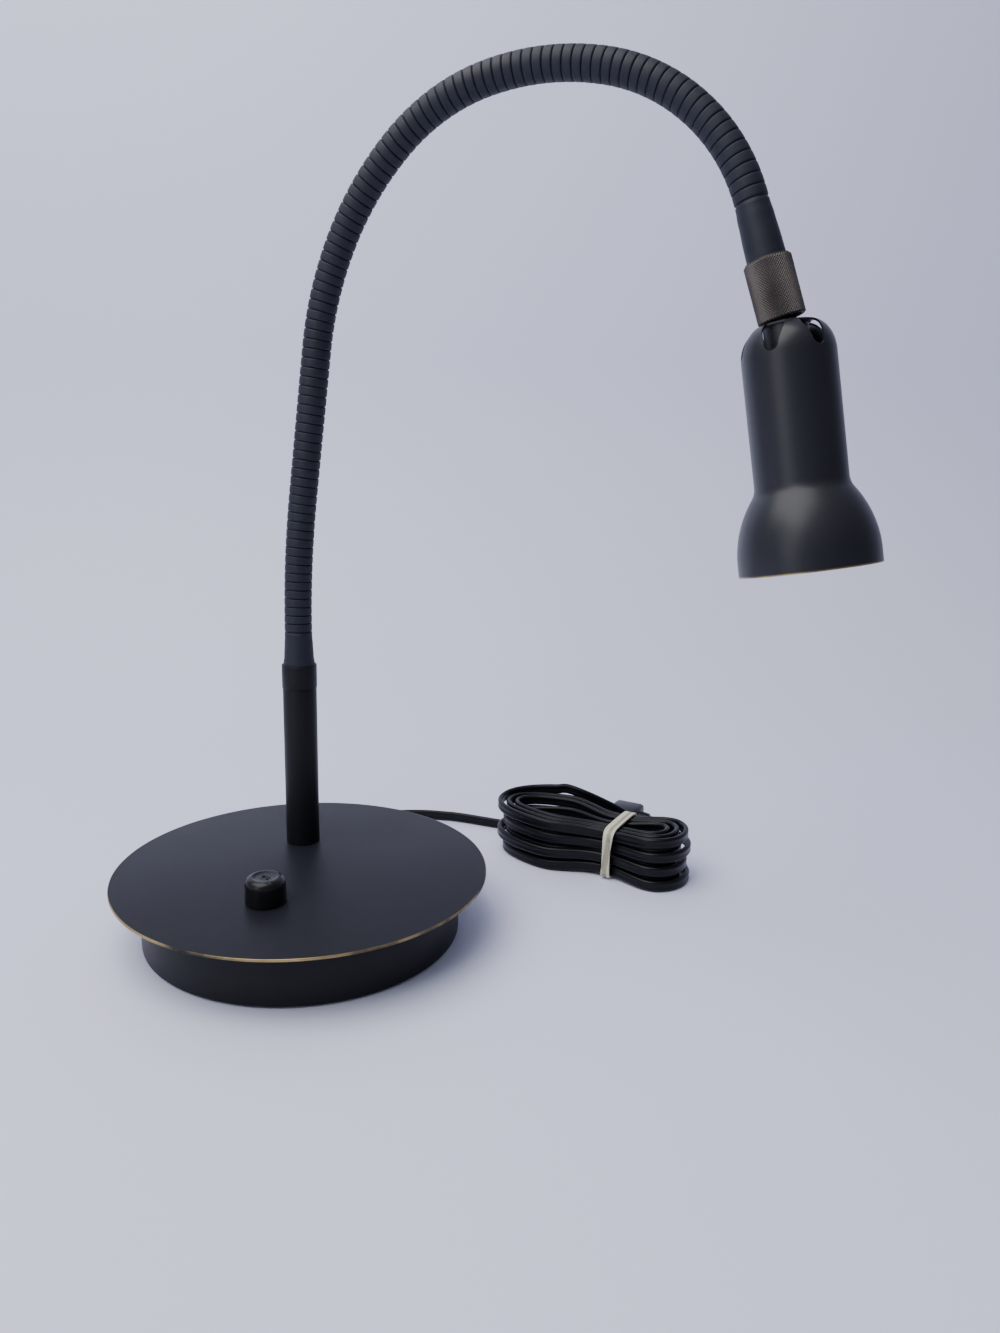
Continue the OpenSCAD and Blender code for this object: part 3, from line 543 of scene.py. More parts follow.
def ribs_group():
    """Presses grooves at every pitch into a tube that carries the attributes along and out."""
    tree, n, start, end = geometry_group("Sleeve Ribs", [
        ("Pitch", FLOAT, 4.0), ("Groove Depth", FLOAT, 0.5), ("Groove Share", FLOAT, 0.3),
        ("Bulge", FLOAT, 0.1), ("Material", "NodeSocketMaterial", None)])
    along = n.add("GeometryNodeInputNamedAttribute", data_type="FLOAT")
    along.inputs["Name"].default_value = "along"
    out = n.add("GeometryNodeInputNamedAttribute", data_type="FLOAT_VECTOR")
    out.inputs["Name"].default_value = "out"
    ribbed = n.add("GeometryNodeInputNamedAttribute", data_type="FLOAT")
    ribbed.inputs["Name"].default_value = "ribbed"
    phase = n.math("FRACT", n.math("DIVIDE", along.outputs["Attribute"], start.outputs["Pitch"]))
    near = n.math("MULTIPLY", n.math("MINIMUM", phase, n.math("SUBTRACT", 1.0, phase)), 2.0)
    groove = n.math("SUBTRACT", 1.0, n.step(near, 0.0, start.outputs["Groove Share"]))
    crown = n.math("POWER", n.math("SUBTRACT", 1.0, near), 2.0)
    depth = n.math("ADD", n.math("MULTIPLY", groove, start.outputs["Groove Depth"]),
                   n.math("MULTIPLY", crown, start.outputs["Bulge"]))
    depth = n.math("MULTIPLY", n.math("MULTIPLY", depth, ribbed.outputs["Attribute"]), -MM)
    move = n.add("ShaderNodeVectorMath", "SCALE")
    n.link(out.outputs["Attribute"], move.inputs[0])
    n.link(depth, move.inputs["Scale"])
    place = n.add("GeometryNodeSetPosition")
    n.link(start.outputs["Geometry"], place.inputs["Geometry"])
    n.link(move.outputs[0], place.inputs["Offset"])
    close_group(n, start, end, place.outputs["Geometry"])
    return tree


def knurl_group():
    """Sets small diamonds in staggered rows round a barrel."""
    tree, n, start, end = geometry_group("Diamond Knurl", [
        ("Radius", FLOAT, 8.8), ("Low", FLOAT, 0.0), ("Length", FLOAT, 20.0),
        ("Around", "NodeSocketInt", 56), ("Rows", "NodeSocketInt", 40), ("Size", FLOAT, 0.6),
        ("Height", FLOAT, 0.3), ("Material", "NodeSocketMaterial", None)])
    grid = n.add("GeometryNodeMeshGrid")
    grid.inputs["Size X"].default_value = 1.0
    grid.inputs["Size Y"].default_value = 1.0
    n.link(start.outputs["Around"], grid.inputs["Vertices X"])
    n.link(start.outputs["Rows"], grid.inputs["Vertices Y"])
    split = n.add("ShaderNodeSeparateXYZ")
    n.link(n.add("GeometryNodeInputPosition").outputs[0], split.inputs[0])
    row_share = n.math("ADD", split.outputs["Y"], 0.5)
    last_row = n.math("SUBTRACT", start.outputs["Rows"], 1.0)
    row = n.math("ROUND", n.math("MULTIPLY", row_share, last_row))
    odd = n.math("MODULO", row, 2.0)
    column = n.math("MULTIPLY", n.math("ADD", split.outputs["X"], 0.5),
                    n.math("SUBTRACT", start.outputs["Around"], 1.0))
    column = n.math("ADD", column, n.math("MULTIPLY", odd, 0.5))
    angle = n.math("MULTIPLY", n.math("DIVIDE", column, start.outputs["Around"]), 2 * math.pi)
    radius = n.math("MULTIPLY", start.outputs["Radius"], MM)
    spot = n.add("ShaderNodeCombineXYZ")
    n.link(n.math("MULTIPLY", radius, n.math("COSINE", angle)), spot.inputs[0])
    n.link(n.math("MULTIPLY", radius, n.math("SINE", angle)), spot.inputs[1])
    height = n.math("ADD", start.outputs["Low"], n.math("MULTIPLY", row_share,
                                                        start.outputs["Length"]))
    n.link(n.math("MULTIPLY", height, MM), spot.inputs[2])
    points = n.add("GeometryNodeMeshToPoints")
    n.link(spot.outputs[0], points.inputs["Position"])
    kept = n.add("GeometryNodeCaptureAttribute")
    kept.capture_items.new("FLOAT", "Angle")
    n.link(grid.outputs["Mesh"], kept.inputs["Geometry"])
    n.link(angle, kept.inputs["Angle"])
    n.link(kept.outputs["Geometry"], points.inputs["Mesh"])
    diamond = n.add("GeometryNodeMeshCone")
    diamond.inputs["Vertices"].default_value = 4
    n.link(n.math("MULTIPLY", start.outputs["Size"], MM), diamond.inputs["Radius Bottom"])
    n.link(n.math("MULTIPLY", start.outputs["Size"], 0.15 * MM), diamond.inputs["Radius Top"])
    n.link(n.math("MULTIPLY", start.outputs["Height"], MM), diamond.inputs["Depth"])
    lie = n.add("ShaderNodeCombineXYZ")
    lie.inputs[1].default_value = math.pi / 2
    n.link(kept.outputs["Angle"], lie.inputs[2])
    spread = n.add("GeometryNodeInstanceOnPoints")
    n.link(points.outputs["Points"], spread.inputs["Points"])
    n.link(diamond.outputs["Mesh"], spread.inputs["Instance"])
    n.link(lie.outputs[0], spread.inputs["Rotation"])
    both = n.add("GeometryNodeJoinGeometry")
    n.link(spread.outputs["Instances"], both.inputs["Geometry"])
    n.link(start.outputs["Geometry"], both.inputs["Geometry"])
    close_group(n, start, end, both.outputs["Geometry"])
    return tree


def apply_group(obj, tree, values, smooth_angle=35):
    """Runs a geometry group on obj with its inputs set by identifier, and keeps plain mesh."""
    modifier = obj.modifiers.new(tree.name, "NODES")
    modifier.node_group = tree
    for item in tree.interface.items_tree:
        if item.item_type == "SOCKET" and item.in_out == "INPUT" and item.name in values:
            modifier[item.identifier] = values[item.name]
    return settle(obj, smooth_angle)


# ---------- Settings ----------


class LampFinish(bpy.types.PropertyGroup):
    """Colours of the lamp's finishes."""

    bronze: FloatVectorProperty(name="Bronze Paint", description="Satin paint of plate and shade",
                                subtype="COLOR", size=3, default=(0.011, 0.0115, 0.016))
    stem: FloatVectorProperty(name="Stem Paint", description="Darker paint of drum and stem",
                              subtype="COLOR", size=3, default=(0.007, 0.0072, 0.0095))
    sleeve: FloatVectorProperty(name="Sleeve Rubber", description="Ribbed sleeve and its flares",
                                subtype="COLOR", size=3, default=(0.010, 0.0115, 0.019))
    collar: FloatVectorProperty(name="Collar Bronze", description="Knurled collar",
                                subtype="COLOR", size=3, default=(0.062, 0.054, 0.049))
    brass: FloatVectorProperty(name="Worn Brass", description="Brass that shows on worn edges",
                               subtype="COLOR", size=3, default=(0.42, 0.31, 0.14))
    cord: FloatVectorProperty(name="Cord", description="Flat mains cord and plug",
                              subtype="COLOR", size=3, default=(0.003, 0.0033, 0.005))
    band: FloatVectorProperty(name="Rubber Band", description="Band round the hank",
                              subtype="COLOR", size=3, default=(0.62, 0.58, 0.43))


class LampNeck(bpy.types.PropertyGroup):
    """Sleeve of the gooseneck."""

    pitch: FloatProperty(name="Rib Pitch", description="Millimetres from groove to groove",
                         default=4.0, min=3.0, max=6.0)
    groove: FloatProperty(name="Groove Depth", description="Depth of the grooves in millimetres",
                          default=0.55, min=0.0, max=1.0)
    share: FloatProperty(name="Groove Share", description="Part of the pitch that a groove takes",
                         default=0.2, min=0.05, max=1.0, subtype="FACTOR")
    bulge: FloatProperty(name="Bulge", description="How much each band swells, in millimetres",
                         default=0.07, min=0.0, max=0.5)
    segments: IntProperty(name="Segments", description="Sides of the sleeve", default=48, min=12,
                          max=96)


class LampCollar(bpy.types.PropertyGroup):
    """Knurling of the head's collar."""

    around: IntProperty(name="Diamonds Around", description="Diamonds in each row", default=54,
                        min=12, max=96)
    rows: IntProperty(name="Rows", description="Rows of diamonds", default=39, min=4, max=80)
    height: FloatProperty(name="Height", description="Height of a diamond in millimetres",
                          default=0.3, min=0.05, max=0.6)


class LampCord(bpy.types.PropertyGroup):
    """Flat cord and its hank."""

    width: FloatProperty(name="Width", description="Width of the flat cord", default=0.0056,
                         subtype="DISTANCE", unit="LENGTH")
    rings: IntProperty(name="Rings per Turn", description="Rings of the cord in one turn of the"
                       " hank", default=72, min=24, max=160)


class LampStage(bpy.types.PropertyGroup):
    """Floor, backdrop and lights."""

    floor: FloatVectorProperty(name="Floor", description="Colour of floor and backdrop",
                               subtype="COLOR", size=3, default=(0.73, 0.748, 0.92))
    key: FloatProperty(name="Key Light", description="Power of the large soft light",
                       default=16.0, min=0.0, max=200.0, subtype="POWER", unit="POWER")
    fill: FloatProperty(name="Fill Light", description="Power of the fill light from the left",
                        default=2.5, min=0.0, max=200.0, subtype="POWER", unit="POWER")
    sky: FloatProperty(name="Ambient", description="Strength of the light from all around",
                       default=0.6, min=0.0, max=5.0)


# ---------- Pieces ----------

# Base, stem and knob as in the frame, in millimetres
PLATE_R, PLATE_LOW, PLATE_TOP = 85, 28, 29.2
PLATE_WORN = 0.2
DRUM_R, DRUM_WALL, DRUM_LOW, DRUM_TOP_LOW = 72.2, 1.5, 1, 26.5
PANEL_HOLE_R = 5.1
CORD_EXIT = Vector((0, 0.080, 0.009))
EXIT_R = 4.9
STEM_R, STEM_BORE_R, STEM_SHOULDER = 8, 6.6, 107.2
KNOB_GAP = 0.3
KNOB_TOP_R, KNOB_ROUND, KNOB_ROUND_Z = 5.4, 3.2, 8.3
KNOB_MARK_TURN = math.radians(-59)
STEM_XY = (-6.4, 32.3)
KNOB_XY = (-9, -36)
STEM_TOP = 118.5


def at_xy(xy, z=0.0):
    return Matrix.Translation((xy[0] * MM, xy[1] * MM, z * MM))


def cylinder(name, radius, low, high, place=None):
    return lathe(name, [(0, low), (radius, low), (radius, high), (0, high)], 48, place)


def strain_relief_outline():
    """Flange, groove for the drum's wall and seven ribs, as (radius, distance from the middle)."""
    relief = [(0, 68.5), (6.0, 68.5), (6.0, 70.4), (4.8, 70.4), (4.8, 72.6), (6.0, 72.7),
              (5.8, 74.5)]
    for k in range(7):
        z, r = 76 + 2.6 * k, 4.6 - 0.12 * k
        relief += [(r, z - 0.9), (r, z + 0.5), (r - 0.5, z + 0.6), (r - 0.5, z + 1.5)]
    relief += [(3.75, 94.2), (0, 94.2)]
    return relief


class LAMP_OT_base(bpy.types.Operator):
    """Builds the plate, drum, stem, stem collar, knob and strain relief"""

    bl_idname = "lamp.base"
    bl_label = "Base, Stem and Knob"

    def holes(self):
        """Cutter for the holes that the stem and the dimmer come through."""
        low, high = DRUM_TOP_LOW - 1.5, PLATE_TOP + 1.8
        return joined("Holes", cylinder("Stem_Hole", PANEL_HOLE_R, low, high, at_xy(STEM_XY)),
                      cylinder("Knob_Hole", PANEL_HOLE_R, low, high, at_xy(KNOB_XY)))

    def execute(self, context):
        finish = context.scene.lamp_finish
        plate = lathe("Plate", softened([(0, PLATE_LOW), (PLATE_R, PLATE_LOW),
                                         (PLATE_R, PLATE_TOP), (0, PLATE_TOP)], 0.35), 256)
        plate = cut(plate, self.holes())
        wear = dict(metal=finish.brass, axis=(0, 0, 0), radial=1.0,
                    level=(PLATE_R - PLATE_WORN) * MM, band=0.0003, patch_scale=45.0, amount=1.0)
        put(plate, material("Plate Paint", tuple(finish.bronze), (0.4, 0.46), spread=1.12, cloud=14,
                            grain=1400, bump=0.03, specular=0.12,
                            wear=wear), "base", "base_plate")

        bore = DRUM_R - DRUM_WALL
        drum = lathe("Drum", softened([(0, DRUM_TOP_LOW), (bore, DRUM_TOP_LOW), (bore, DRUM_LOW),
                                       (DRUM_R, DRUM_LOW), (DRUM_R, PLATE_LOW),
                                       (0, PLATE_LOW)], 0.6), 256)
        drum = cut(drum, self.holes())
        paint = material("Drum Paint", tuple(finish.stem), (0.38, 0.48), spread=1.35, cloud=18,
                         grain=1200, bump=0.05, specular=0.17)
        drum_hole = cylinder("Exit", EXIT_R, 0, 12, Matrix.Translation(CORD_EXIT)
                             @ Matrix.Rotation(math.pi / 2, 4, "X"))
        drum = cut(drum, drum_hole)
        put(drum, paint, "base", "base_drum")

        stem = lathe("Stem", softened([(STEM_BORE_R, 31), (STEM_BORE_R, PLATE_TOP),
                                       (STEM_R, PLATE_TOP), (STEM_R, STEM_SHOULDER),
                                       (STEM_BORE_R, STEM_SHOULDER)], 0.15), 96, at_xy(STEM_XY))
        put(stem, paint, "base", "stem_tube")
        low = STEM_SHOULDER
        collar = lathe("Stem_Collar", softened([(4.8, low), (8.25, low), (8.25, STEM_TOP),
                                                (7.4, STEM_TOP), (7.4, STEM_TOP - 7.4),
                                                (4.8, STEM_TOP - 7.4)], 0.35), 96, at_xy(STEM_XY))
        put(collar, paint, "base", "stem_collar")

        dome = [(KNOB_TOP_R + KNOB_ROUND * math.cos(math.radians(a)),
                 KNOB_ROUND_Z + KNOB_ROUND * math.sin(math.radians(a))) for a in range(0, 80, 11)]
        knob = lathe("Knob", softened([(7.8, 0), (8.8, 0), *dome, (KNOB_TOP_R, 11.35), (4.4, 11.0),
                                       (2.3, 10.75), (2.0, 11.1), (1.4, 11.1), (1.1, 10.5),
                                       (0, 10.4), (0, 8.5), (3.0, 8.5), (3.0, 5.5), (7.8, 5.5)],
                                      0.3, 4), 128, at_xy(KNOB_XY, PLATE_TOP + KNOB_GAP))
        mark = box("Mark", (4.2, 1.1, 2), (6.2, 0, 11.9), at_xy(KNOB_XY, PLATE_TOP + KNOB_GAP)
                   @ Matrix.Rotation(KNOB_MARK_TURN, 4, "Z"))
        knob = cut(knob, mark)
        put(knob, material("Knob Gloss", (0.006, 0.006, 0.007), (0.26, 0.34), spread=1.3,
                           bump=0.02, specular=0.26), "knob", "knob")

        relief = strain_relief_outline()
        turn = Matrix.Translation((0, 0, 0.009)) @ Matrix.Rotation(-math.pi / 2, 4, "X")
        put(lathe("Strain_Relief", softened(relief, 0.25, 2), 48, turn), cord_black(), "base",
            "cord_grommet")
        return {"FINISHED"}


# How far below the neck's first joint the sleeve starts, and how far past its last joint it ends
SLEEVE_BELOW, SLEEVE_PAST = 23.5, 24.3
# How far either side of each joint a bend span reaches, apart from the first joint; the spans are
# worked out but bend nothing
BEND_REACH = (20, 20, 16, 16, 16, 16, 14, 10)
FIRST_BEND = (-5, 20)
# Runs are cut at the groove next below the middle of each link, and grooves lie this far apart
CUT_PITCH = 4
# Where the rings of one rib lie, as shares of the pitch: close together at its groove
RIB_RINGS = (0.0, 0.03, 0.06, 0.1, 0.2, 0.35, 0.5, 0.65, 0.8, 0.9, 0.94, 0.97)


def sleeve_radius(s):
    """Radius of the sleeve and its flared ends at s millimetres along the neck."""
    rows = ((-SLEEVE_BELOW, 7.3), (-15, 7.3), (-12.5, 6.95), (-6, 6.65), (-3, 6.4),
            (NECK_LENGTH + 2, 6.4), (NECK_LENGTH + 6, 6.75), (NECK_LENGTH + 17.4, 7.2),
            (NECK_LENGTH + 21.4, 7.3), (NECK_LENGTH + SLEEVE_PAST, 7.3))
    if s <= rows[0][0]:
        return rows[0][1]
    for (a, ra), (b, rb) in zip(rows, rows[1:]):
        if s <= b:
            t = (s - a) / (b - a)
            return ra + (rb - ra) * t * t * (3 - 2 * t)
    return rows[-1][1]


def sleeve_runs():
    """Each run's ends, a span either side of its joint, and the bodies either side."""
    joints = [sum(length for length, _ in LINKS[:k]) for k in range(len(LINKS) + 1)]
    ends = [-SLEEVE_BELOW]
    ends += [(a + b) // 2 // CUT_PITCH * CUT_PITCH for a, b in zip(joints, joints[1:])]
    ends.append(NECK_LENGTH + SLEEVE_PAST)
    bends = [FIRST_BEND]
    bends += [(joint - reach, joint + reach) for joint, reach in zip(joints[1:], BEND_REACH)]
    bodies = ["base", *(f"link_{k + 1}" for k in range(len(LINKS))), "head"]
    return zip(ends, ends[1:], bends, bodies, bodies[1:])


class LAMP_OT_neck(bpy.types.Operator):
    """Builds the ribbed sleeve in runs that bend over the neck's joints"""

    bl_idname = "lamp.neck"
    bl_label = "Ribbed Neck"

    def run_mesh(self, name, low, high, settings):
        """A plain tube from low to high with the attributes that the ribs are pressed from."""
        stops = {low, high}
        pitch = settings.pitch
        for k in range(int(NECK_LENGTH / pitch)):
            for share in RIB_RINGS:
                stops.add(round((k + share) * pitch, 4))
        for k in range(-24, 0):
            stops.add(float(k) + 0.5)
        for k in range(0, 25):
            stops.add(NECK_LENGTH + float(k))
        stops = sorted(s for s in stops if low <= s <= high)
        sides = settings.segments
        verts, faces, along, out, ribbed = [], [], [], [], []
        for s in stops:
            point, side, _ = neck_place(s)
            radius = sleeve_radius(s)
            for n in range(sides):
                a = 2 * math.pi * n / sides
                away = side * math.cos(a) + CURL * math.sin(a)
                verts.append(point + away * radius * MM)
                along.append(s)
                out.append(away)
                ribbed.append(1.0 if -0.01 <= s <= NECK_LENGTH + 0.01 else 0.0)
        for k in range(len(stops) - 1):
            for n in range(sides):
                m = (n + 1) % sides
                faces.append((k * sides + n, k * sides + m, (k + 1) * sides + m,
                              (k + 1) * sides + n))
        top = (len(stops) - 1) * sides
        faces.append(tuple(range(sides)))
        faces.append(tuple(range(top, top + sides)))
        mesh = bpy.data.meshes.new(name)
        mesh.from_pydata([tuple(v) for v in verts], [], faces)
        for key, kind, values in (("along", "FLOAT", along), ("ribbed", "FLOAT", ribbed)):
            mesh.attributes.new(key, kind, "POINT").data.foreach_set("value", values)
        flat = [c for v in out for c in v]
        mesh.attributes.new("out", "FLOAT_VECTOR", "POINT").data.foreach_set("vector", flat)
        obj = bpy.data.objects.new(name, mesh)
        bpy.context.scene.collection.objects.link(obj)
        return obj

    def execute(self, context):
        settings = context.scene.lamp_neck
        rubber = material("Sleeve Rubber", tuple(context.scene.lamp_finish.sleeve), (0.5, 0.62),
                          spread=1.35, cloud=40, grain=1600, bump=0.12, specular=0.32, dust=0.06)
        tree = ribs_group()
        for k, (low, high, (start, stop), first, second) in enumerate(sleeve_runs()):
            obj = self.run_mesh(f"Sleeve_{k + 1}", low, high, settings)
            obj = apply_group(obj, tree, {
                "Pitch": settings.pitch, "Groove Depth": settings.groove,
                "Groove Share": settings.share, "Bulge": settings.bulge, "Material": rubber}, 60)
            give(obj, rubber)
            nodes = [f"{kind}_{k}" for kind in ("sleeve", "core", "lead") if k]
            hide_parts(*nodes, *(("lower_ferrule",) if k == 0 else ()),
                        *(("upper_ferrule",) if k == len(LINKS) else ()))
            neck_place(start)[0]
            neck_place(stop)[0]
            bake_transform(obj)
        return {"FINISHED"}


# Shade, as in the frame: millimetres from the crown, along the shade's own line
SHADE = dict(crown=8.6, tube=17.45, bell=26.6, wall=0.8, length=92.0, shoulder=12.5, rim=4.5,
             angle=35.0, fillet=8.0)
# Vents round the crown: half widths at the crown, at the widest and at the round end
VENT = dict(count=6, phase=45.0, top=3.6, wide=4.2, wide_at=3.0, end=2.7, height=11.3)


def shade_outline(inset):
    """The shade's outer face, moved in by inset, from the crown's edge to the rim."""
    s = SHADE
    round_r = (s["bell"] - s["tube"]) / (1 - math.cos(math.radians(s["angle"]))) - s["fillet"]
    bell_length = (s["fillet"] + round_r) * math.sin(math.radians(s["angle"]))
    tube_end = s["length"] - s["rim"] - bell_length
    rows = []
    for k in range(19):
        a = math.radians(90 - 5 * k)
        rows.append((s["crown"] + (s["tube"] - inset - s["crown"]) * math.cos(a),
                     s["shoulder"] - (s["shoulder"] - inset) * math.sin(a)))
    for k in range(8):
        a = math.radians(s["angle"] * k / 7)
        rows.append((s["tube"] - inset + (s["fillet"] + inset) * (1 - math.cos(a)),
                     tube_end + (s["fillet"] + inset) * math.sin(a)))
    for k in range(1, 17):
        a = math.radians(s["angle"] * (1 - k / 16))
        rows.append((s["bell"] - inset - (round_r - inset) * (1 - math.cos(a)),
                     s["length"] - s["rim"] - (round_r - inset) * math.sin(a)))
    rows.append((s["bell"] - inset, s["length"]))
    return rows


class LAMP_OT_head(bpy.types.Operator):
    """Builds the knurled collar and the vented shade"""

    bl_idname = "lamp.head"
    bl_label = "Collar and Shade"

    def vents(self):
        """The vents as one cutter, in the shade's own frame: wide at the crown, round below."""
        end = VENT["height"] - VENT["end"]
        outline = [(-VENT["top"], -1), (VENT["top"], -1), (VENT["wide"], VENT["wide_at"])]
        outline += [(VENT["end"] * math.cos(math.radians(a)),
                     end + VENT["end"] * math.sin(math.radians(a))) for a in range(0, 181, 15)]
        outline.append((-VENT["wide"], VENT["wide_at"]))
        count = len(outline)
        parts = []
        for k in range(VENT["count"]):
            verts = [(x * MM, y * MM, z * MM)
                     for x in (SHADE["crown"] + 0.5, 22) for y, z in outline]
            faces = [tuple(range(count)), tuple(range(count, 2 * count))]
            faces += [(n, (n + 1) % count, count + (n + 1) % count, count + n)
                      for n in range(count)]
            turn = math.radians(VENT["phase"] + 360 * k / VENT["count"])
            parts.append(make_object(f"Vent_{k}", verts, faces, Matrix.Rotation(turn, 4, "Z")))
        return joined("Vents", *parts)

    def execute(self, context):
        finish = context.scene.lamp_finish
        knurl = context.scene.lamp_collar
        head = head_matrix()
        # The barrel under the knurl gets a darker copy of the collar bronze, 0.35 of its tone:
        # painted shade in the hollows between the diamonds
        barrel_painted_shade = material("Collar Painted Shade", tuple(0.35 * c for c in finish.collar), (0.5, 0.6),
                           metallic=0.6, cloud=60)
        ridges = material("Collar Bronze", tuple(finish.collar), (0.36, 0.5), metallic=0.8,
                          spread=1.8, cloud=90, grain=1500, bump=0.05)
        barrel = lathe("Collar", softened([(7.4, 21.4), (8.0, 21.4), (8.5, 22.2), (8.5, 43.6),
                                           (8.3, 44), (7.45, 44), (7.45, 42.5), (5.1, 42.5),
                                           (5.1, 24.4), (7.4, 24.4)], 0.12), 128, head)
        put(barrel, barrel_painted_shade, "head", "knurled_collar")
        knurling = lathe("Knurl", [(7.9, 43.6), (8.35, 43.6), (8.25, 43.95), (7.9, 43.95)], 128)
        knurling = apply_group(knurling, knurl_group(), {
            "Radius": 8.6, "Low": 22.6, "Length": 20.7, "Around": knurl.around,
            "Rows": knurl.rows, "Size": 0.55, "Height": knurl.height, "Material": ridges}, 25)
        knurling.data.transform(head)
        put(knurling, ridges, "head", "knurled_collar")

        place = shade_matrix()
        outer, inner = shade_outline(0), shade_outline(SHADE["wall"])
        shell = [(4.4, 0)] + outer + inner[::-1] + [(4.4, SHADE["wall"])]
        shade = lathe("Shade", shell, 192)
        shade = cut(shade, self.vents(), 40)
        shade.data.transform(place)
        axis = (place.to_3x3() @ Vector((0, 0, 1))).normalized()
        rim = (place @ Vector((0, 0, SHADE["length"] * MM))).dot(axis)
        wear = dict(metal=finish.brass, axis=tuple(axis), radial=0.0, level=rim - 0.0001,
                    band=0.0007, patch_scale=35.0, amount=1.0)
        put(shade, material("Shade Paint", tuple(finish.bronze), (0.32, 0.38), spread=1.12,
                            cloud=16, grain=1400, bump=0.03, specular=0.36, wear=wear,
                            dust=0.02),
            "lamp_head", "shade")
        return {"FINISHED"}


class LAMP_OT_inside(bpy.types.Operator):
    """Finishes the frame's own pieces that stay in view: inside the base, head and shade"""

    bl_idname = "lamp.inside"
    bl_label = "Inner Pieces"

    def execute(self, context):
        steel = material("Turned Steel", (0.42, 0.42, 0.43), (0.3, 0.42), metallic=1.0, spread=1.1)
        dark = material("Dark Steel", (0.03, 0.03, 0.034), (0.4, 0.55), metallic=0.6)
        brass = material("Turned Brass", (0.55, 0.4, 0.17), (0.28, 0.4), metallic=1.0, spread=1.1)
        black = material("Black Rubber", (0.012, 0.012, 0.013), (0.6, 0.75), bump=0.1)
        finishes = {
            "ballast_ring": material("Cast Iron", (0.06, 0.06, 0.062), (0.6, 0.8), metallic=0.6,
                                     bump=0.4, grain=500),
            "bottom_cover": material("Cover Paint", (0.02, 0.02, 0.022), (0.45, 0.55), bump=0.1),
            "foot_pad": black,
            "cover_screws": steel,
            "transformer": material("Windings", (0.45, 0.2, 0.05), (0.3, 0.45), metallic=0.5,
                                    spread=1.5, cloud=200),
            "terminal_block": material("Cream Nylon", (0.7, 0.66, 0.55), (0.4, 0.5)),
            "base_wires": black,
            "dimmer_case": material("Dimmer Black", (0.03, 0.03, 0.035), (0.4, 0.5)),
            "panel_nuts": brass,
            "stem_nipple": brass,
            "dimmer_shaft": steel,
            "neck_socket": dark,
            "head_spigot": dark,
            "lead_head": black,
            "holder_cup": dark,
            "lamp_holder": material("White Ceramic", (0.72, 0.69, 0.62), (0.5, 0.65), bump=0.1),
            "reflector": material("Mirror Glass", (0.75, 0.76, 0.8), (0.06, 0.1), metallic=1.0,
                                  spread=1.02),
            "capsule": material("Clear Quartz", (0.9, 0.92, 0.95), (0.03, 0.05), spread=1.02,
                                alpha=0.6, transmission=0.6),
            "front_glass": material("Cover Glass", (0.85, 0.9, 0.93), (0.02, 0.04), spread=1.02,
                                    alpha=0.35, transmission=0.6),
            "retaining_clip": steel,
            "plug_pins": brass,
        }
        for name, finish in finishes.items():
            give(frame["nodes"][name], finish)
        return {"FINISHED"}


# ---------- Cord ----------

HANK_AT = (147.0, 80.0)
HANK_TURN = math.radians(-28)
TURNS, LAYERS = 12, 4
RUN_POINTS = ((0, 94.2, 9), (0, 100, 8.6), (0.4, 107, 7), (3, 116, 4.6), (9, 125, 3.2),
              (18, 132.4, 3), (30, 136.6, 3), (43, 138, 3), (57, 136.6, 3), (71, 133, 3))
TAIL_POINTS = ((-20, 22, 28), (-8, 28, 22), (6, 35, 14), (17, 43, 8.6), (20, 51, 6.6),
               (14, 57, 6.3), (6, 58, 6.3))
PLUG_AT = TAIL_POINTS[-1]
PLUG_SIZE = (18, 20, 12)
BAND_HALF, BAND_LOW, BAND_HIGH, BAND_RINGS = 17.4, 0.7, 28.1, 96
BAND_SQUARE = 0.28


def ease(x):
    t = max(0.0, min(1.0, x))
    return t * t * (3 - 2 * t)


# The hank's own sizes: where its band sits, how far it reaches to each side of that, how much
# shorter each turn in a layer is, its half width at the band and how much wider it is at its
# ends, how much narrower each turn is, and how high a layer is
HANK = dict(waist_x=8, right=50, left=60, shorter=4.8, middle_y=-4, waist=15.2, swell=10.3,
            narrower=4.1, narrower_ends=0.7, low=3, band_lift=1.4, layer=6.6, layer_swell=0.18)
# Powers that make the turns' ends round and their sides long
END_POWER, SIDE_POWER = 2.6, 2.2
FIRST_TURN_AT = 130


def hank_point(s):
    """The cord's middle after s turns of the hank, in the hank's own frame."""
    h = HANK
    per_layer = TURNS / LAYERS
    layer = min(int(s / per_layer), LAYERS - 1)
    way = s - layer * per_layer
    inset = way if layer % 2 == 0 else per_layer - way
    up = layer + ease((way - per_layer + 0.25) / 0.5)
    if layer:
        up -= 1 - ease((way + 0.25) / 0.5)
    a = math.radians(FIRST_TURN_AT - 360 * s)
    c = abs(math.cos(a))
    reach = h["right"] if math.cos(a) > 0 else h["left"]
    x = h["waist_x"] * (1 - c) + (reach - h["shorter"] * inset) * math.cos(a)
    spread = ease((abs(x - h["waist_x"]) - 3) / 32)
    half = (h["waist"] + h["swell"] * spread
            - (h["narrower"] + h["narrower_ends"] * spread) * inset)
    full = max(0.0, 1 - c ** END_POWER) ** (1 / SIDE_POWER)
    y = h["middle_y"] + (-1 if math.sin(a) < 0 else 1) * half * full
    return Vector((x, y, h["low"] + h["band_lift"] * (1 - spread)
                   + up * h["layer"] * (1 + h["layer_swell"] * spread)))


def hank_to_frame(p):
    ca, sa = math.cos(HANK_TURN), math.sin(HANK_TURN)
    return Vector((HANK_AT[0] + p[0] * ca - p[1] * sa, HANK_AT[1] + p[0] * sa + p[1] * ca, p[2]))


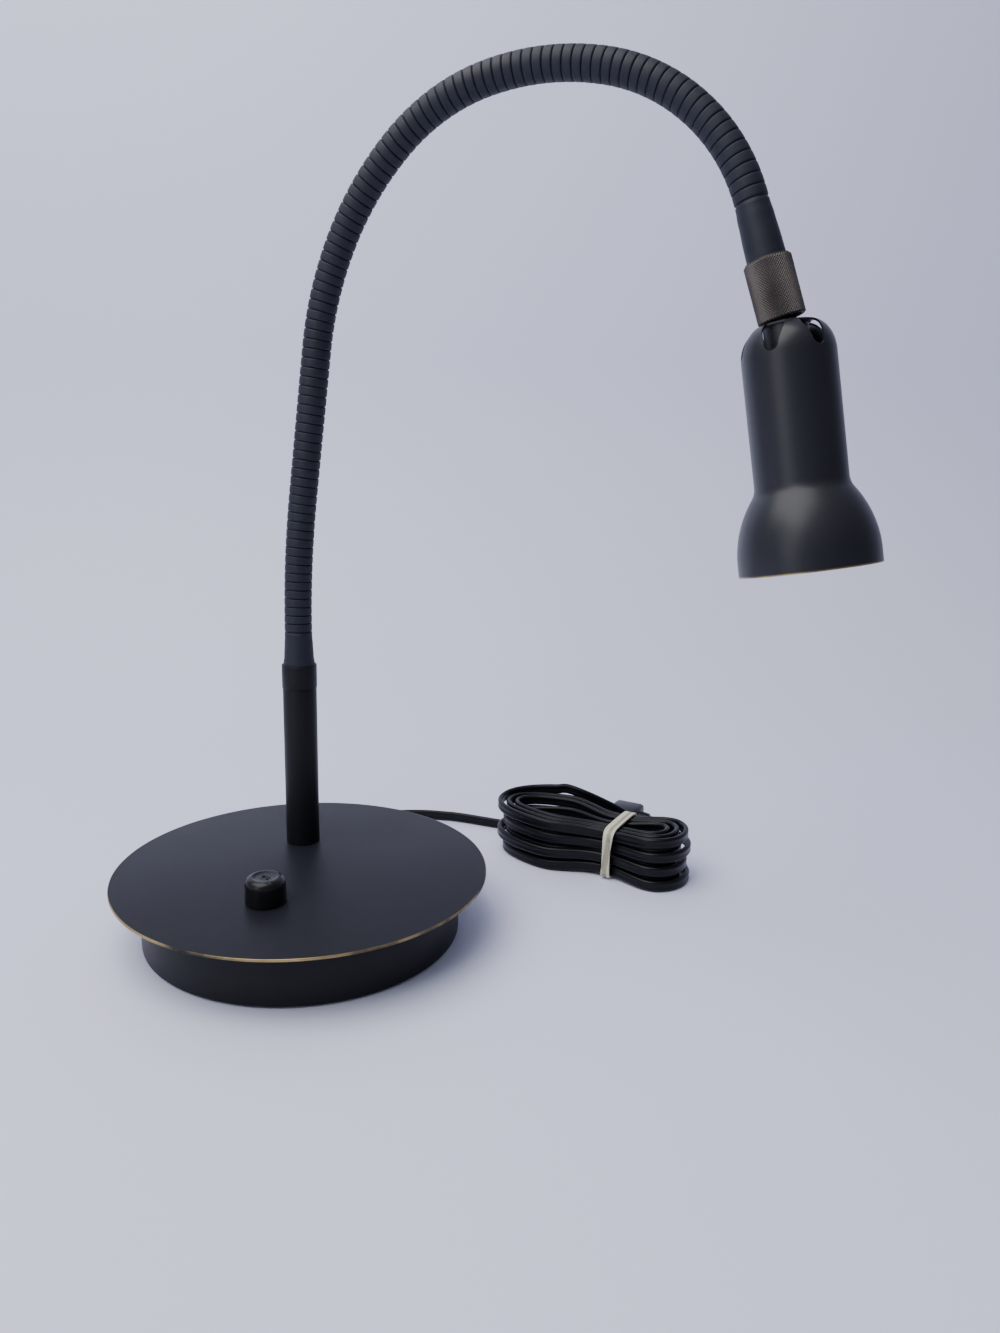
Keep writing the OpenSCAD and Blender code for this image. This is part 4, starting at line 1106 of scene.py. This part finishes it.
def smooth_line(points, steps):
    """A curve through the points, with that many steps for each stretch."""
    points = [Vector(p) for p in points]
    ends = [2 * points[0] - points[1]] + points + [2 * points[-1] - points[-2]]
    line = []
    for k in range(len(points) - 1):
        a, b, c, d = ends[k:k + 4]
        for step in range(steps):
            t = step / steps
            line.append(0.5 * ((2 * b) + (c - a) * t + (2 * a - 5 * b + 4 * c - d) * t * t
                               + (3 * b - a - 3 * c + d) * t ** 3))
    return line + [points[-1]]


def flat_cord_outline(width):
    """Two round cores side by side, as (side, over) in metres."""
    r = width / 4
    up = [(r * math.sin(math.radians(a)), r + r * math.cos(math.radians(a)))
          for a in range(120, -121, -24)]
    return up + [(-x, -y) for x, y in up]


class LAMP_OT_cord(bpy.types.Operator):
    """Builds the flat cord from the drum through its hank to the plug, and the rubber band"""

    bl_idname = "lamp.cord"
    bl_label = "Cord, Hank and Plug"

    def execute(self, context):
        finish = context.scene.lamp_finish
        cord = context.scene.lamp_cord
        black = cord_black()
        start, ahead = hank_point(0), hank_point(1 / 24)
        back = Vector((start.x - ahead.x, start.y - ahead.y, 0)).normalized()
        into = [hank_to_frame(start + back * w) for w in (14, 7, 0)]
        line = smooth_line([*RUN_POINTS, *into], 8)
        steps = TURNS * cord.rings
        line += [hank_to_frame(hank_point(k / cord.rings)) for k in range(1, steps)]
        end = hank_point(TURNS)
        on = (end - hank_point(TURNS - 1 / 24)).normalized()
        tail = smooth_line([end, end + on * 6, *TAIL_POINTS], 8)
        line += [hank_to_frame(p) for p in tail]
        line = [p * MM for p in line]
        obj = give(tube("Cord", line, flat_cord_outline(cord.width)), black)
        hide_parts("cord_run", "cord_hank")
        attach(obj, "base")

        hank = Matrix.Translation((HANK_AT[0] * MM, HANK_AT[1] * MM, 0)) @ Matrix.Rotation(
            HANK_TURN, 4, "Z")
        shell = box("Plug", PLUG_SIZE, (PLUG_AT[0] - 15, *PLUG_AT[1:]), hank, 2.5)
        root = lathe("Plug_Root", softened([(0, 0), (3.8, 0), (4.0, 2), (4.6, 6), (5.4, 9),
                                            (0, 9)], 0.3), 48,
                     hank @ at_xy(PLUG_AT[:2], PLUG_AT[2])
                     @ Matrix.Rotation(-math.pi / 2, 4, "Y"))
        plug = put(joined("Plug", shell, root), black, "base", "plug_body")

        cream = material("Band Rubber", tuple(finish.band), (0.5, 0.6), spread=1.1, bump=0.1)
        middle, rise = (BAND_LOW + BAND_HIGH) / 2, (BAND_HIGH - BAND_LOW) / 2
        path = []
        for k in range(BAND_RINGS):
            a = 2 * math.pi * k / BAND_RINGS
            c, s = math.cos(a), math.sin(a)
            path.append((BAND_HALF * math.copysign(abs(c) ** BAND_SQUARE, c),
                         middle + rise * math.copysign(abs(s) ** BAND_SQUARE, s)))
        strands = []
        for name, lean, width in (("Band_A", 0.0, 2.1), ("Band_B", 0.13, 1.6)):
            verts, faces = [], []
            for k, (y, z) in enumerate(path):
                out = Vector((0, y, (z - middle) * 1.2)).normalized() * 0.5
                mid = Vector((11 + lean * (z - 12), HANK["middle_y"] + y, z))
                for dx, side in ((-width, -1), (-width, 1), (width, 1), (width, -1)):
                    verts.append((mid + Vector((dx, 0, 0)) + out * side) * MM)
            count = len(path)
            for k in range(count):
                m = (k + 1) % count
                for n in range(4):
                    j = (n + 1) % 4
                    faces.append((4 * k + n, 4 * k + j, 4 * m + j, 4 * m + n))
            strands.append(make_object(name, verts, faces, hank))
        band = put(joined("Rubber_Band", *strands), cream, "base", "cord_band")
        return {"FINISHED"}


# ---------- Stage ----------

CAMERA_AT = (0.0892, -0.43197, 0.2242)
CAMERA_RIGHT = (0.99975, 0.00489, 0.02166)
CAMERA_AHEAD = (0.0, 0.97547, -0.22012)
LENS = 36.0 * 1000 / 1333
# Where the floor curves up into the backdrop, how round the curve is and how high it goes
SWEEP_FRONT, SWEEP_CURVE_AT, SWEEP_R, SWEEP_TOP, SWEEP_HALF = -2.5, 0.24, 0.3, 2.4, 3

class LAMP_OT_stage(bpy.types.Operator):
    """Sets up the camera, the sweep that is floor and backdrop, and soft lights"""

    bl_idname = "lamp.stage"
    bl_label = "Stage and Camera"

    def light(self, name, power, size, at, aim, color):
        data = bpy.data.lights.new(name, "AREA")
        data.energy = power
        data.shape = "RECTANGLE"
        data.size, data.size_y = size
        data.color = color
        obj = bpy.data.objects.new(name, data)
        bpy.context.scene.collection.objects.link(obj)
        back = (Vector(at) - Vector(aim)).normalized()
        facing = back.to_track_quat("Z", "Y").to_matrix().to_4x4()
        obj.matrix_world = Matrix.Translation(at) @ facing
        return obj

    def execute(self, context):
        stage = context.scene.lamp_stage
        data = bpy.data.cameras.new("Camera")
        data.sensor_fit = "AUTO"
        data.sensor_width = 36.0
        data.lens = LENS
        data.clip_start, data.clip_end = 0.01, 20
        camera = bpy.data.objects.new("Camera", data)
        context.scene.collection.objects.link(camera)
        right = Vector(CAMERA_RIGHT).normalized()
        ahead = Vector(CAMERA_AHEAD).normalized()
        up = right.cross(ahead).normalized()
        right = ahead.cross(up)
        camera.matrix_world = frame_matrix(right, up, -ahead, Vector(CAMERA_AT))
        context.scene.camera = camera

        rows = [(SWEEP_FRONT, 0.0), (SWEEP_CURVE_AT, 0.0)]
        rows += [(SWEEP_CURVE_AT + SWEEP_R * math.sin(math.radians(a)),
                  SWEEP_R - SWEEP_R * math.cos(math.radians(a))) for a in range(6, 91, 6)]
        rows.append((SWEEP_CURVE_AT + SWEEP_R, SWEEP_TOP))
        verts = [(x, y, z) for y, z in rows for x in (-SWEEP_HALF, SWEEP_HALF)]
        faces = [(2 * k, 2 * k + 1, 2 * k + 3, 2 * k + 2) for k in range(len(rows) - 1)]
        mesh = bpy.data.meshes.new("Sweep")
        mesh.from_pydata(verts, [], faces)
        mesh.shade_smooth()
        sweep = bpy.data.objects.new("Sweep", mesh)
        context.scene.collection.objects.link(sweep)
        give(sweep, material("Sweep", tuple(stage.floor), (0.6, 0.7), spread=1.02, cloud=3))
        lights = [
            self.light("Key", stage.key, (1.2, 1.0), (-0.35, -0.25, 1.15), (0.1, 0.05, 0.1),
                       (1.0, 0.99, 0.98)),
            self.light("Fill", stage.fill, (0.5, 1.0), (-0.55, -0.75, 0.55), (0.12, 0, 0.2),
                       (0.93, 0.96, 1.0)),
        ]
        world = bpy.data.worlds.new("Window Light")
        world.use_nodes = True
        n = Nodes(world.node_tree)
        toward = n.add("ShaderNodeVectorMath", "DOT_PRODUCT")
        n.link(n.add("ShaderNodeTexCoord").outputs["Generated"], toward.inputs[0])
        toward.inputs[1].default_value = (-0.6, 0.25, 0.76)
        glow = n.step(toward.outputs["Value"], -0.5, 0.9)
        lit = n.math("ADD", n.math("MULTIPLY", glow, 0.8), 0.2)
        sky = world.node_tree.nodes["Background"]
        sky.inputs["Color"].default_value = (0.84, 0.87, 1.0, 1)
        n.link(n.math("MULTIPLY", lit, stage.sky), sky.inputs["Strength"])
        context.scene.world = world
        return {"FINISHED"}


class LAMP_PT_panel(bpy.types.Panel):
    """Settings and steps of the lamp"""

    bl_idname = "LAMP_PT_panel"
    bl_label = "Gooseneck Desk Lamp"
    bl_space_type = "VIEW_3D"
    bl_region_type = "UI"
    bl_category = "Lamp"

    def draw(self, context):
        for name, operators in GROUPS.items():
            part = self.layout.box()
            settings = getattr(context.scene, name)
            for key in settings.__annotations__:
                part.prop(settings, key)
            for operator in operators:
                part.operator(operator)


GROUPS = {
    "lamp_stage": ("lamp.stage",),
    "lamp_cord": ("lamp.cord",),
    "lamp_finish": ("lamp.base", "lamp.inside"),
    "lamp_neck": ("lamp.neck",),
    "lamp_collar": ("lamp.head",),
}
SETTINGS = {"lamp_finish": LampFinish, "lamp_neck": LampNeck, "lamp_collar": LampCollar,
            "lamp_cord": LampCord, "lamp_stage": LampStage}
CLASSES = (LampFinish, LampNeck, LampCollar, LampCord, LampStage, LAMP_OT_stage, LAMP_OT_cord,
           LAMP_OT_base, LAMP_OT_neck, LAMP_OT_head, LAMP_OT_inside, LAMP_PT_panel)


def register():
    for cls in CLASSES:
        bpy.utils.register_class(cls)
    for name, group in SETTINGS.items():
        setattr(bpy.types.Scene, name, PointerProperty(type=group))


def unregister():
    for name in SETTINGS:
        delattr(bpy.types.Scene, name)
    for cls in reversed(CLASSES):
        bpy.utils.unregister_class(cls)


def main():
    register()
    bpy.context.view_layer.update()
    bpy.ops.lamp.stage()
    bpy.ops.lamp.cord()
    bpy.ops.lamp.base()
    bpy.ops.lamp.neck()
    bpy.ops.lamp.head()
    bpy.ops.lamp.inside()


if __name__ == "__main__":
    main()
